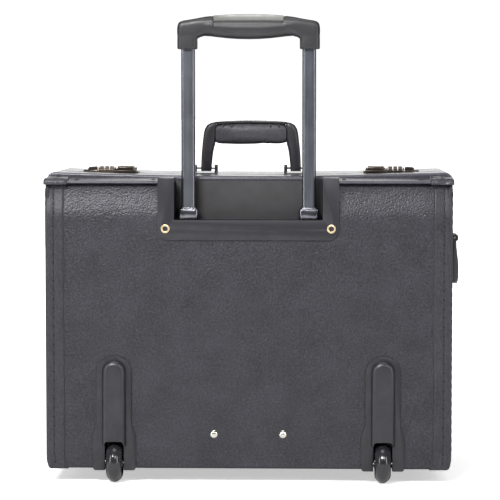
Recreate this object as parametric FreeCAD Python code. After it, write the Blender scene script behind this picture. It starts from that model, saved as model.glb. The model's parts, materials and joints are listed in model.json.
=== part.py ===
"""Rolling laptop case: a boxy wheeled case with a telescoping pull handle.

Frame: origin on the floor under the middle of the case, +Z up, +X along the long side,
-Y towards the side that carries the wheels and the pull handle. All sizes are in millimetres.
"""
import FreeCAD, Part
import math
import os

V = FreeCAD.Vector

# ---- driving dimensions ----
CASE_HALF_WIDTH = 276.0
CASE_HALF_DEPTH = 127.0
CASE_BOTTOM = 19.0
CASE_TOP = 408.0
BINDING = 1.0
BOARD = 4.0
GAP = 0.3

PANEL_X = CASE_HALF_WIDTH - BINDING
PANEL_Y = CASE_HALF_DEPTH - BINDING
PANEL_Z = CASE_BOTTOM + BINDING
BINDING_WIDTH = 24.5

# fixed decks and the two lid leaves between them
DECK_EDGE_Y = -82.5
DECK_RISE = 7.5
DECK_BACK_RISE = 3.5
FRONT_DECK_Y = 119.5
SEAM_Y = -18.0
LEAF_BOTTOM = CASE_TOP + GAP
LEAF_MID_TOP = 417.4
LEAF_END_TOP = 422.4
LEAF_HALF_WIDTH = 279.0
LEAF_LIP = 11.0

# pull handle well and bezel
WELL_HALF = 100.8
WELL_FLOOR = 359.0
WELL_BACK_Y = -89.0
WELL_WALL = 2.5
BEZEL_HALF = 122.8
BEZEL_BOTTOM = 332.0
BEZEL_TOP = 416.0
BEZEL_T = 2.5
BEZEL_Y = -PANEL_Y - BEZEL_T
SCREW_X = 112.4
SCREW_Z = 347.5
SCREW_SHANK = 2.0
RIVET_X = 47.0
RIVET_Z = 67.0
RIVET_SHANK = 2.5

# telescoping tubes: width by depth of each stage
TUBE_X = 82.0
TUBE_Y = -109.0
INNER = (19.0, 13.0)
MIDDLE = (21.8, 15.8)
OUTER = (25.0, 19.0)
TUBE_WALL = 1.0
OUTER_BOTTOM = 60.0
MIDDLE_BOTTOM = 70.0
INNER_BOTTOM = 300.0
COLLAR = (28.0, 22.0)
COLLAR_HEIGHT = 14.0
GRIP_BOTTOM = 590.0
GRIP_TOP = 637.0
GRIP_HALF = 96.6
GRIP_DEPTH = 26.0
BUTTON_HALF = 47.6

# wheels and their housings
WHEEL_X = 183.0
WHEEL_R = 27.5
WHEEL_W = 21.5
WHEEL_Y = -120.0
AXLE_R = 2.5
FLANGE_TOP = 174.0
FLANGE_HALF = 23.6
FLANGE_FOOT_HALF = 29.2
DOME_HALF = 16.4
DOME_TOP = 169.0
DOME_OUT = 9.0
POCKET_HALF = 13.0
POCKET_TOP = 57.7
POCKET_WALL = 2.5
POCKET_FRONT_Y = -90.0

# carry handle, about its pivot
PIVOT_Z = 426.0
CARRY_REACH = 67.0
CARRY_UNDER = 35.5
CARRY_OUT = 70.4
CARRY_POST = 15.0
CARRY_DEPTH = 20.0
EAR_OUTER = 78.4
EAR_INNER = 48.9
EAR_T = 4.6
EAR_HALF = 4.6
PIN_R = 1.6
SIDE_PIVOT_X = 282.0
SIDE_DEPTH = 13.4
SIDE_PIVOT_Z = 333.0

# combination locks on the front leaf
LOCK_SEAT = 418.9
LOCK_PLATE_T = 2.9
DIAL_R = 6.6
DIAL_W = 5.6
DIAL_PITCH = 7.0
DIAL_Y = -4.0
DIAL_AXLE_R = 1.3

# feet, in front
FOOT_X = 205.0
FOOT_Y = 92.0
FOOT_R = 15.0
FOOT_SCREW = 2.0


def box(x0, x1, y0, y1, z0, z1):
    """Box between two corners given as ranges."""
    return Part.makeBox(x1 - x0, y1 - y0, z1 - z0, V(x0, y0, z0))


def rod(radius, start, end):
    """Cylinder from one point to another."""
    along = end - start
    return Part.makeCylinder(radius, along.Length, start, along)


def point_on(axis, u, v, level):
    """Point of a section plane normal to the named axis."""
    return {"X": V(level, u, v), "Y": V(u, level, v), "Z": V(u, v, level)}[axis]


def push(axis, length):
    """Vector of a length along the named axis."""
    return point_on(axis, 0.0, 0.0, length)


def slab(corners, axis, low, high):
    """Flat piece from (u, v, radius) corners, each rounded with its own radius, between two levels."""
    points = [point_on(axis, u, v, low) for u, v, _ in corners]
    count = len(corners)
    turns = []
    for index, (_, _, radius) in enumerate(corners):
        here = points[index]
        back = (points[index - 1] - here).normalize()
        ahead = (points[(index + 1) % count] - here).normalize()
        if radius <= 0.0:
            turns.append((here, None, here))
            continue
        half = math.acos(back.dot(ahead)) / 2.0
        inward = (back + ahead).normalize()
        reach = radius / math.tan(half)
        middle = here + inward * (radius / math.sin(half) - radius)
        turns.append((here + back * reach, middle, here + ahead * reach))
    edges = []
    for index, (start, middle, finish) in enumerate(turns):
        if middle is not None:
            edges.append(Part.Arc(start, middle, finish).toShape())
        following = turns[(index + 1) % count][0]
        if (following - finish).Length > 1e-6:
            edges.append(Part.makeLine(finish, following))
    return Part.Face(Part.Wire(edges)).extrude(push(axis, high - low))


def section(axis, level, start, steps):
    """Flat face from a start point and steps: (end) is a line, (through, end) is an arc."""
    here = point_on(axis, start[0], start[1], level)
    first = here
    edges = []
    for step in steps:
        stops = [point_on(axis, u, v, level) for u, v in step]
        if len(stops) == 1:
            edges.append(Part.makeLine(here, stops[0]))
        else:
            edges.append(Part.Arc(here, stops[0], stops[1]).toShape())
        here = stops[-1]
    if (here - first).Length > 1e-6:
        edges.append(Part.makeLine(here, first))
    return Part.Face(Part.Wire(edges))


def drawn(axis, low, high, start, steps):
    """Solid between two levels along an axis, from the same steps as section."""
    return section(axis, low, start, steps).extrude(push(axis, high - low))


def oval_bar(width, depth, z0, z1, radius, x=0.0, y=0.0):
    """Upright bar of rounded rectangular section."""
    w, d = width / 2.0, depth / 2.0
    corners = [(x - w, y - d, radius), (x + w, y - d, radius), (x + w, y + d, radius), (x - w, y + d, radius)]
    return slab(corners, "Z", z0, z1)


def tube(size, z0, z1, x):
    """Upright rounded tube of the pull handle."""
    radius = size[1] * 0.36
    outside = oval_bar(size[0], size[1], z0, z1, radius, x, TUBE_Y)
    inner = [extent - 2 * TUBE_WALL for extent in size]
    bore = oval_bar(inner[0], inner[1], z0 - 1, z1 + 1, radius - TUBE_WALL, x, TUBE_Y)
    return outside.cut(bore)


def flip_x(shape):
    """Mirror image across the plane x = 0."""
    return shape.mirror(V(0, 0, 0), V(1, 0, 0))


def group(shapes):
    """Separate solids kept in one node."""
    return Part.makeCompound(shapes)


# ---- the case: boards, decks, bindings ----

def pocket_space(side, margin):
    """Space that a wheel housing's pocket takes out of the boards, with a margin."""
    x = side * WHEEL_X
    half = POCKET_HALF + POCKET_WALL + margin
    return box(x - half, x + half, -PANEL_Y - 9, POCKET_FRONT_Y + POCKET_WALL + margin,
               CASE_BOTTOM - 9, POCKET_TOP + POCKET_WALL + margin)


def screw_holes(radius):
    """Two bores for the bezel screws, through the bezel and the back panel."""
    return group([rod(radius, V(side * SCREW_X, BEZEL_Y - 1, SCREW_Z),
                      V(side * SCREW_X, -PANEL_Y + 9, SCREW_Z))
                  for side in (-1, 1)])


def rivet_holes(radius):
    """Two bores for the rivets that hold the tube bracket."""
    return group([rod(radius, V(side * RIVET_X, -PANEL_Y - 5, RIVET_Z),
                      V(side * RIVET_X, -PANEL_Y + 20, RIVET_Z))
                  for side in (-1, 1)])


def make_boards():
    """The stiff panels of the box."""
    back = box(-PANEL_X, PANEL_X, -PANEL_Y, -PANEL_Y + BOARD, PANEL_Z, CASE_TOP)
    back = back.cut(box(-WELL_HALF - WELL_WALL, WELL_HALF + WELL_WALL, -PANEL_Y - 1, -PANEL_Y + BOARD + 1,
                        WELL_FLOOR - WELL_WALL, CASE_TOP + 1))
    pockets = [pocket_space(side, 0) for side in (-1, 1)]
    back = back.cut([screw_holes(SCREW_SHANK), rivet_holes(RIVET_SHANK)] + pockets)
    front = box(-PANEL_X, PANEL_X, PANEL_Y - BOARD, PANEL_Y, PANEL_Z, CASE_TOP)
    inner_y = PANEL_Y - BOARD
    bottom = box(-PANEL_X, PANEL_X, -inner_y, inner_y, PANEL_Z, PANEL_Z + BOARD)
    for side in (-1, 1):
        bottom = bottom.cut(pocket_space(side, 0))
        bottom = bottom.cut(rod(FOOT_SCREW, V(side * FOOT_X, FOOT_Y, 0), V(side * FOOT_X, FOOT_Y, 40)))
        bottom = bottom.cut(rod(4.6, V(side * FOOT_X, FOOT_Y, PANEL_Z + 2), V(side * FOOT_X, FOOT_Y, 40)))
    end = box(PANEL_X - BOARD, PANEL_X, -inner_y, inner_y, PANEL_Z + BOARD, CASE_TOP)
    return {"back_panel": back, "front_panel": front, "bottom_panel": bottom,
            "end_panel_left": flip_x(end), "end_panel_right": end}


def make_decks():
    """Fixed strips across the top: the rising rear deck round the handle well and the front rim."""
    rear = slab([(-PANEL_Y, CASE_TOP, 0), (DECK_EDGE_Y, CASE_TOP, 0), (DECK_EDGE_Y, CASE_TOP + DECK_RISE, 1.5),
                 (-PANEL_Y, CASE_TOP + DECK_BACK_RISE, 1.5)], "X", -PANEL_X, PANEL_X)
    rear = rear.cut(box(-WELL_HALF - WELL_WALL, WELL_HALF + WELL_WALL, -PANEL_Y - 1, WELL_BACK_Y + WELL_WALL,
                        CASE_TOP - 1, CASE_TOP + 20))
    front = slab([(FRONT_DECK_Y, CASE_TOP, 0), (PANEL_Y, CASE_TOP, 0), (PANEL_Y, CASE_TOP + DECK_RISE - 2, 3),
                  (FRONT_DECK_Y, CASE_TOP + DECK_RISE, 1)], "X", -PANEL_X, PANEL_X)
    heads = []
    for x in (-234.0, -129.5, 129.5, 234.0):
        head = Part.makeSphere(5.0, V(x, -112.0, CASE_TOP + 1.9))
        heads.append(head.common(box(x - 6, x + 6, -118, -106, CASE_TOP + 5.2, CASE_TOP + 20)))
    return {"rear_deck": rear, "front_deck": front, "deck_rivets": group(heads)}


def make_bindings():
    """Stitched edge bands round the box's ends, and the folded caps at the top rear corners."""
    inside_x = CASE_HALF_WIDTH - BINDING_WIDTH
    outer = box(inside_x, CASE_HALF_WIDTH, -CASE_HALF_DEPTH, CASE_HALF_DEPTH, CASE_BOTTOM, CASE_TOP)
    band = outer.cut(box(0, PANEL_X, -PANEL_Y, PANEL_Y, PANEL_Z, CASE_TOP + 1))
    reveal = 12.0
    band = band.cut(box(PANEL_X - 1, CASE_HALF_WIDTH + 1, -PANEL_Y + reveal, PANEL_Y - reveal,
                        PANEL_Z + reveal, CASE_TOP + 1))
    cap_in, cap_deep, cap_t = 246.0, -98.0, 1.5
    cap = box(cap_in, CASE_HALF_WIDTH + cap_t, -CASE_HALF_DEPTH - cap_t, cap_deep,
              CASE_TOP - 1.5, CASE_TOP + 20)
    core = slab([(-CASE_HALF_DEPTH, 0, 0), (0, 0, 0), (0, CASE_TOP + DECK_RISE, 0),
                 (DECK_EDGE_Y, CASE_TOP + DECK_RISE, 0), (-PANEL_Y, CASE_TOP + DECK_BACK_RISE, 0),
                 (-CASE_HALF_DEPTH, CASE_TOP + DECK_BACK_RISE, 0)], "X", 0, CASE_HALF_WIDTH)
    top = slab([(-CASE_HALF_DEPTH - cap_t, 0, 0), (0, 0, 0), (0, CASE_TOP + DECK_RISE + cap_t, 0),
                (DECK_EDGE_Y, CASE_TOP + DECK_RISE + cap_t, 0),
                (-CASE_HALF_DEPTH - cap_t, CASE_TOP + DECK_BACK_RISE + cap_t, 3)], "X", 0, 300)
    cap = cap.common(top).cut(core)
    return {"edge_binding_left": flip_x(band), "edge_binding_right": band,
            "rim_cap_left": flip_x(cap), "rim_cap_right": cap}


def make_interior():
    """False back in front of the tubes, thin lining, padded divider and its strap."""
    x = PANEL_X - BOARD - GAP
    floor = PANEL_Z + BOARD
    false_y = WELL_BACK_Y + WELL_WALL + GAP
    false_back = box(-x, x, false_y, false_y + 3, floor + GAP, CASE_TOP - 1)
    y0, y1 = false_y + 3 + GAP, PANEL_Y - BOARD - GAP
    lining = box(-x, x, y0, y1, floor + GAP, CASE_TOP - 6)
    lining = lining.cut(box(-x + 1, x - 1, y0 + 1, y1 - 1, floor + GAP + 1, CASE_TOP))
    outline = [(28, floor + 1.6, 5), (40, floor + 1.6, 5), (40, 300, 5.9), (28, 300, 5.9)]
    divider = slab(outline, "X", -240, 240)
    strap = box(-19, 19, 24.4, 26.2, 210, 318)
    strap = strap.fuse(box(-19, 19, 24.4, y1 - 1 - GAP, 318, 319.8))
    strap = strap.fuse(box(-19, 19, y1 - 1 - GAP - 1.8, y1 - 1 - GAP, 260, 319.8))
    return {"false_back": false_back, "interior_lining": lining, "laptop_divider": divider,
            "divider_strap": strap.removeSplitter()}


# ---- handle well, bezel and what fixes them ----

def make_well():
    """Recess that the grip nests in, its U-shaped bezel and the fixings."""
    w, t = WELL_HALF, WELL_WALL
    well = box(-w - t, w + t, -PANEL_Y, WELL_BACK_Y + t, WELL_FLOOR - t, CASE_TOP + 3)
    well = well.cut(box(-w, w, -PANEL_Y - 1, WELL_BACK_Y, WELL_FLOOR, CASE_TOP + 9))
    for side in (-1, 1):
        well = well.cut(oval_bar(OUTER[0], OUTER[1], 0, CASE_TOP, OUTER[1] * 0.36, side * TUBE_X, TUBE_Y))
    bezel = slab([(-BEZEL_HALF, BEZEL_BOTTOM, 15), (BEZEL_HALF, BEZEL_BOTTOM, 15), (BEZEL_HALF, BEZEL_TOP, 4),
                  (w, BEZEL_TOP, 1), (w, WELL_FLOOR, 1.5), (-w, WELL_FLOOR, 1.5), (-w, BEZEL_TOP, 1),
                  (-BEZEL_HALF, BEZEL_TOP, 4)], "Y", BEZEL_Y, -PANEL_Y)
    tab_y = -110.0
    for side in (-1, 1):
        low, high = sorted((side * (w + 0.5), side * BEZEL_HALF))
        tab = slab([(BEZEL_Y, CASE_TOP + 1, 0), (-PANEL_Y, CASE_TOP + 1, 0),
                    (-PANEL_Y, CASE_TOP + DECK_BACK_RISE + 0.2, 0), (tab_y, CASE_TOP + 6.4, 0),
                    (tab_y, CASE_TOP + 9.0, 1), (BEZEL_Y, CASE_TOP + 8.0, 2.5)], "X", low, high)
        bezel = bezel.fuse(tab)
    bezel = bezel.cut(screw_holes(SCREW_SHANK)).removeSplitter()
    screws = []
    rivets = []
    for side in (-1, 1):
        x = side * SCREW_X
        head = rod(6.0, V(x, BEZEL_Y, SCREW_Z), V(x, BEZEL_Y - 2.2, SCREW_Z))
        head = head.cut(rod(3.4, V(x, BEZEL_Y - 0.7, SCREW_Z), V(x, BEZEL_Y - 3, SCREW_Z)))
        screws.append(head.fuse(rod(SCREW_SHANK, V(x, BEZEL_Y, SCREW_Z), V(x, -PANEL_Y + 8, SCREW_Z))))
        x = side * RIVET_X
        ball = Part.makeSphere(7.0, V(x, -PANEL_Y + 3.9, RIVET_Z))
        dome = ball.common(box(x - 9, x + 9, -PANEL_Y - 9, -PANEL_Y, RIVET_Z - 9, RIVET_Z + 9))
        shank = rod(RIVET_SHANK, V(x, -PANEL_Y, RIVET_Z), V(x, -PANEL_Y + BOARD + 3, RIVET_Z))
        tail = rod(4.5, V(x, -PANEL_Y + BOARD + 3, RIVET_Z), V(x, -PANEL_Y + BOARD + 4, RIVET_Z))
        rivets.append(dome.fuse([shank, tail]))
    return {"handle_well": well, "well_bezel": bezel, "bezel_screws": group(screws),
            "bracket_rivets": group(rivets)}


def make_tube_mounts():
    """Fixed outer tubes and the bracket that holds their feet."""
    nodes = {}
    plate_y = -PANEL_Y + BOARD
    bracket = slab([(-104, 46, 6), (104, 46, 6), (104, 90, 6), (-104, 90, 6)], "Y", plate_y, plate_y + 3)
    for side in (-1, 1):
        x = side * TUBE_X
        cup = oval_bar(OUTER[0] + 5, OUTER[1] + 5, 52, 88, 7, x, TUBE_Y)
        cup = cup.cut(box(x - 20, x + 20, plate_y - 9, plate_y, 40, 100))
        bracket = bracket.fuse(cup)
        name = "outer_tube_left" if side < 0 else "outer_tube_right"
        nodes[name] = tube(OUTER, OUTER_BOTTOM, WELL_FLOOR, x)
    for side in (-1, 1):
        seat = oval_bar(OUTER[0], OUTER[1], OUTER_BOTTOM, 200, OUTER[1] * 0.36, side * TUBE_X, TUBE_Y)
        bracket = bracket.cut(seat)
    nodes["tube_bracket"] = bracket.cut(rivet_holes(RIVET_SHANK)).removeSplitter()
    return nodes


# ---- wheels and feet ----

def make_housing(x):
    """Moulded wheel housing: flange on the back panel, raised dome above, pocket round the wheel."""
    f, g = FLANGE_HALF, FLANGE_FOOT_HALF
    y0 = -PANEL_Y - 2.5
    flange = slab([(x - g, 17, 4), (x + g, 17, 4), (x + g, 64, 8), (x + f, 79, 8), (x + f, FLANGE_TOP, f - 0.5),
                   (x - f, FLANGE_TOP, f - 0.5), (x - f, 79, 8), (x - g, 64, 8)], "Y", y0, -PANEL_Y)
    d = DOME_HALF
    dome = slab([(x - d, POCKET_TOP - 6, 0), (x + d, POCKET_TOP - 6, 0), (x + d, DOME_TOP, d - 0.2),
                 (x - d, DOME_TOP, d - 0.2)], "Y", y0 - DOME_OUT, y0)
    rim = [edge for edge in dome.Edges if edge.BoundBox.YMax < y0 - DOME_OUT + 0.1 and edge.BoundBox.ZMax > 60]
    dome = dome.makeFillet(8.4, rim)
    p, t = POCKET_HALF, POCKET_WALL
    pocket = box(x - p - t, x + p + t, -PANEL_Y, POCKET_FRONT_Y + t, 17, POCKET_TOP + t)
    housing = flange.fuse([dome, pocket])
    mouth = slab([(x - p, -1, 0), (x + p, -1, 0), (x + p, POCKET_TOP, 5), (x - p, POCKET_TOP, 5)],
                 "Y", y0 - DOME_OUT - 1, POCKET_FRONT_Y)
    axle = V(x, WHEEL_Y, WHEEL_R)
    seat = rod(AXLE_R, axle - V(p + t + 1, 0, 0), axle + V(p + t + 1, 0, 0))
    return housing.cut([mouth, seat]).removeSplitter()


def make_wheel_side(side):
    """Housing, axle and rolling pieces on one side."""
    x = side * WHEEL_X
    name = "left" if side < 0 else "right"
    reach = POCKET_HALF + POCKET_WALL
    axle = rod(AXLE_R, V(x - reach, WHEEL_Y, WHEEL_R), V(x + reach, WHEEL_Y, WHEEL_R))
    h = WHEEL_W / 2.0
    crown, hub_r, bearing_r = WHEEL_R, 17.5, 5.5
    tread = section("Z", 0, (-h, hub_r), [
        ((h, hub_r),), ((h, crown - 8.5),), ((h * 0.62, crown - 2.6), (0, crown)),
        ((-h * 0.62, crown - 2.6), (-h, crown - 8.5))])
    tyre = tread.revolve(V(0, 0, 0), V(1, 0, 0), 360)
    ring = rod(hub_r, V(-h + 1.5, 0, 0), V(h - 1.5, 0, 0)).cut(rod(bearing_r, V(-h, 0, 0), V(h, 0, 0)))
    seat = rod(bearing_r, V(-h - 2, 0, 0), V(h + 2, 0, 0))
    boss = rod(bearing_r + 2, V(-h - 1, 0, 0), V(h + 1, 0, 0)).cut(seat)
    hub = ring.fuse(boss).removeSplitter()
    bearings = []
    for low in (-h - 1, h - 4):
        race = rod(bearing_r, V(low, 0, 0), V(low + 5, 0, 0))
        bearings.append(race.cut(rod(AXLE_R + 0.05, V(low - 1, 0, 0), V(low + 6, 0, 0))))
    place = V(x, WHEEL_Y, WHEEL_R)
    nodes = {"wheel_housing_" + name: make_housing(x), "wheel_axle_" + name: axle}
    for label, shape in (("tyre_", tyre), ("wheel_hub_", hub), ("wheel_bearings_", group(bearings))):
        nodes[label + name] = shape.translated(place)
    return nodes


def make_feet():
    """Two moulded feet under the front and the screws that hold them."""
    feet = []
    screws = []
    for side in (-1, 1):
        x = side * FOOT_X
        foot = Part.makeCone(FOOT_R - 2, FOOT_R, PANEL_Z, V(x, FOOT_Y, 0))
        feet.append(foot.cut(rod(FOOT_SCREW, V(x, FOOT_Y, 8), V(x, FOOT_Y, 40))))
        head = rod(4.5, V(x, FOOT_Y, PANEL_Z + 2), V(x, FOOT_Y, PANEL_Z + BOARD))
        screws.append(head.fuse(rod(FOOT_SCREW, V(x, FOOT_Y, 8.2), V(x, FOOT_Y, PANEL_Z + 2))))
    return {"foot_left": feet[0], "foot_right": feet[1], "foot_screws": group(screws)}


# ---- pull handle ----

def make_middle_stage():
    """Middle tubes with the collars that stop them at the well floor."""
    nodes = {}
    for side in (-1, 1):
        name = "left" if side < 0 else "right"
        x = side * TUBE_X
        z0 = WELL_FLOOR + GAP
        nodes["middle_tube_" + name] = tube(MIDDLE, MIDDLE_BOTTOM, z0 + COLLAR_HEIGHT - 1, x)
        collar = oval_bar(COLLAR[0], COLLAR[1], z0, z0 + COLLAR_HEIGHT, 5, x, TUBE_Y)
        ring_top = z0 + COLLAR_HEIGHT + 2.4
        collar = collar.fuse(oval_bar(COLLAR[0] - 5, COLLAR[1] - 4, z0, ring_top, 5, x, TUBE_Y))
        seat = oval_bar(MIDDLE[0], MIDDLE[1], z0 - 1, z0 + COLLAR_HEIGHT - 1, MIDDLE[1] * 0.36, x, TUBE_Y)
        bore = oval_bar(INNER[0] + 0.8, INNER[1] + 0.8, z0 - 1, z0 + 40, INNER[1] * 0.36 + 0.4, x, TUBE_Y)
        nodes["tube_collar_" + name] = collar.cut([seat, bore]).removeSplitter()
    return nodes


def make_grip():
    """Pull grip with a deeper middle, end sockets, and the lens-shaped release button."""
    w = GRIP_HALF
    socket = 27.2
    under = GRIP_BOTTOM + 13.2
    y0, y1 = TUBE_Y - GRIP_DEPTH / 2.0, TUBE_Y + GRIP_DEPTH / 2.0
    body = drawn("Y", y0, y1, (-w, GRIP_BOTTOM), [
        ((-w + socket, GRIP_BOTTOM),), ((-w + socket, under - 5),),
        ((-w + socket + 2, under - 0.6), (-w + socket + 6, under + 2.0)),
        ((0, under), (w - socket - 6, under + 2.0)),
        ((w - socket - 2, under - 0.6), (w - socket, under - 5)),
        ((w - socket, GRIP_BOTTOM),), ((w, GRIP_BOTTOM),), ((w, GRIP_TOP - 13),),
        ((w - 1.6, GRIP_TOP - 9), (w - 5.5, GRIP_TOP - 7.2)), ((52, GRIP_TOP - 1.8),),
        ((BUTTON_HALF + 1, GRIP_TOP - 4.6),), ((0, GRIP_TOP - 8.6), (-BUTTON_HALF - 1, GRIP_TOP - 4.6)),
        ((-52, GRIP_TOP - 1.8),), ((-w + 5.5, GRIP_TOP - 7.2),),
        ((-w + 1.6, GRIP_TOP - 9), (-w, GRIP_TOP - 13))])
    b, top = BUTTON_HALF, GRIP_TOP
    tube_top = GRIP_BOTTOM + 18
    tub = box(-b - 0.4, b + 0.4, y0 + 3, y1 - 3, top - 14.5, top + 1)
    slot = box(-86, 86, TUBE_Y - 4, TUBE_Y + 4, tube_top, top - 14)
    body = body.cut([tub, slot])
    button = drawn("Y", y0 + 3.3, y1 - 3.3, (-b, top - 11), [
        ((b, top - 11),), ((b, top - 2.0),), ((0, top), (-b, top - 2.0))])
    bar = box(-84.5, 84.5, TUBE_Y - 3, TUBE_Y + 3, tube_top + 4.5, tube_top + 8.5)
    for side in (-1, 1):
        bar = bar.fuse(rod(2.5, V(side * 30, TUBE_Y, tube_top + 6), V(side * 30, TUBE_Y, top - 11)))
        low, high = [V(side * TUBE_X, TUBE_Y, level + 6) for level in (INNER_BOTTOM, tube_top)]
        bar = bar.fuse(rod(2.0, low, high))
    nodes = {"pull_grip": body, "release_button": button, "release_bar": bar.removeSplitter()}
    for side in (-1, 1):
        seat = oval_bar(INNER[0], INNER[1], GRIP_BOTTOM - 1, tube_top, INNER[1] * 0.36,
                        side * TUBE_X, TUBE_Y)
        nodes["pull_grip"] = nodes["pull_grip"].cut(seat)
        name = "inner_tube_left" if side < 0 else "inner_tube_right"
        nodes[name] = tube(INNER, INNER_BOTTOM, tube_top, side * TUBE_X)
    nodes["pull_grip"] = nodes["pull_grip"].removeSplitter()
    return nodes


# ---- lid leaves ----

def leaf_solid(y0, y1):
    """One lid leaf: flat below, gently sagging top, rounded ends that overhang the end panels."""
    w, lip = LEAF_HALF_WIDTH, LEAF_LIP
    bend = lip * 0.7071
    return drawn("Y", y0, y1, (-w, LEAF_BOTTOM), [
        ((w, LEAF_BOTTOM),), ((w, LEAF_END_TOP - lip),),
        ((w - lip + bend, LEAF_END_TOP - lip + bend), (w - lip, LEAF_END_TOP)),
        ((0, LEAF_MID_TOP), (-w + lip, LEAF_END_TOP)),
        ((-w + lip - bend, LEAF_END_TOP - lip + bend), (-w, LEAF_END_TOP - lip))])


def lock_space(side):
    """Seat of one lock in the front leaf, with the well for its dials."""
    low, high = sorted((side * 157.5, side * 236.0))
    seat = box(low, high, SEAM_Y - 1, 10.5, LOCK_SEAT, LOCK_SEAT + 20)
    low, high = sorted((side * 190.0, side * 215.5))
    return seat.fuse(box(low, high, DIAL_Y - 8, DIAL_Y + 8, LEAF_BOTTOM - 1, LOCK_SEAT + 1))


def make_lid():
    """Rear and front leaves, their hinge tapes and the strikes."""
    rear = leaf_solid(DECK_EDGE_Y + 0.5, SEAM_Y - 0.9)
    front = leaf_solid(SEAM_Y + 0.5, FRONT_DECK_Y - 0.5)
    seats = []
    strikes = []
    for side in (-1, 1):
        front = front.cut(lock_space(side))
        low, high = sorted((side * 160.0, side * 192.0))
        seats.append(box(low, high, SEAM_Y - 10.5, SEAM_Y + 1, LOCK_SEAT, LOCK_SEAT + 20))
        strikes.append(slab([(SEAM_Y - 10.3, LOCK_SEAT, 0), (SEAM_Y - 1.1, LOCK_SEAT, 0),
                             (SEAM_Y - 1.1, LOCK_SEAT + 7, 1), (SEAM_Y - 10.3, LOCK_SEAT + 4.5, 1)],
                            "X", low + 0.3, high - 0.3))
    rear = rear.cut(seats)
    return {"lid_rear_leaf": rear, "lid_front_leaf": front, "lock_strikes": group(strikes)}


# ---- combination locks ----

def make_lock(side):
    """One lock: plate with dial cage, hasp, three dials on an axle, slide knob."""
    name = "left" if side < 0 else "right"
    z = LOCK_SEAT + LOCK_PLATE_T - 1.4
    plate = box(158, 235.5, SEAM_Y + 0.8, 10.0, LOCK_SEAT, z + 1.4)
    cage = box(190.5, 215.0, DIAL_Y - 7.6, DIAL_Y + 7.6, LEAF_BOTTOM + 0.2, z + 0.5)
    plate = plate.fuse(cage)
    for x in (190.5, 213.4):
        cheek = slab([(DIAL_Y - 7.4, z, 0), (DIAL_Y + 7.4, z, 0), (DIAL_Y + 5.5, z + 6.5, 2),
                      (DIAL_Y - 5.5, z + 6.5, 2)], "X", x, x + 1.6)
        plate = plate.fuse(cheek)
    well = box(192.1, 213.4, DIAL_Y - 7.1, DIAL_Y + 7.1, LEAF_BOTTOM + 1.0, z + 20)
    plate = plate.cut(well)
    centre_z = z + 1.6
    axle = rod(DIAL_AXLE_R, V(190.5, DIAL_Y, centre_z), V(215.0, DIAL_Y, centre_z))
    plate = plate.cut(axle)
    for y in (DIAL_Y - 5.5, DIAL_Y + 5.5):
        plate = plate.fuse(box(216.5, 235.5, y - 1.0, y + 1.0, z + 1.4, z + 3.0))
    knuckle_y, knuckle_z = 7.0, z + 1.4 + 2.4
    for x in (161.5, 187.0):
        outline = [(knuckle_y - 2.4, z, 0), (knuckle_y + 2.4, z, 0),
                   (knuckle_y + 2.4, knuckle_z + 2.4, 2.3), (knuckle_y - 2.4, knuckle_z + 2.4, 2.3)]
        plate = plate.fuse(slab(outline, "X", x, x + 2.5))
    pin = rod(1.2, V(161.5, knuckle_y, knuckle_z), V(189.5, knuckle_y, knuckle_z))
    plate = plate.cut(pin).removeSplitter()
    hasp = slab([(SEAM_Y + 1.0, z + 1.4 + 0.4, 0.5), (knuckle_y, knuckle_z - 2.0, 0),
                 (knuckle_y + 2.2, knuckle_z, 0), (knuckle_y, knuckle_z + 2.4, 0), (0, z + 8.6, 8),
                 (SEAM_Y + 1.0, z + 8.2, 2.5)], "X", 164.4, 186.6)
    hasp = hasp.cut(rod(1.25, V(150, knuckle_y, knuckle_z), V(200, knuckle_y, knuckle_z)))
    knob = slab([(216.4, z + 1.4 + GAP, 0), (229.2, z + 1.4 + GAP, 0), (229.2, z + 6.8, 2.5),
                 (216.4, z + 8.2, 2.0)], "Y", DIAL_Y - 4.2, DIAL_Y + 4.2)
    ribs = [box(218.5 + 2.6 * index, 219.5 + 2.6 * index, DIAL_Y - 5, DIAL_Y + 5, z + 7.0, z + 12)
            for index in range(4)]
    knob = knob.cut(ribs)
    nodes = {"lock_plate_" + name: plate, "lock_hasp_" + name: hasp, "lock_slide_" + name: knob,
             "dial_axle_" + name: axle, "hasp_pin_" + name: pin}
    for index in range(3):
        middle = 202.75 + (index - 1) * DIAL_PITCH
        centre = V(middle, DIAL_Y, centre_z)
        wheel = rod(DIAL_R, centre - V(DIAL_W / 2, 0, 0), centre + V(DIAL_W / 2, 0, 0))
        grooves = []
        for step in range(10):
            angle = math.radians(36 * step + 18)
            at = centre + V(0, math.cos(angle), math.sin(angle)) * (DIAL_R + 0.5)
            grooves.append(rod(0.9, at - V(5, 0, 0), at + V(5, 0, 0)))
        wheel = wheel.cut(grooves)
        bore = rod(DIAL_AXLE_R + 0.05, V(190, DIAL_Y, centre_z), V(216, DIAL_Y, centre_z))
        nodes["dial_%s_%d" % (name, index + 1)] = wheel.cut(bore)
    if side < 0:
        nodes = {key: flip_x(shape) for key, shape in nodes.items()}
    return nodes


# ---- carrying handles ----

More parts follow.
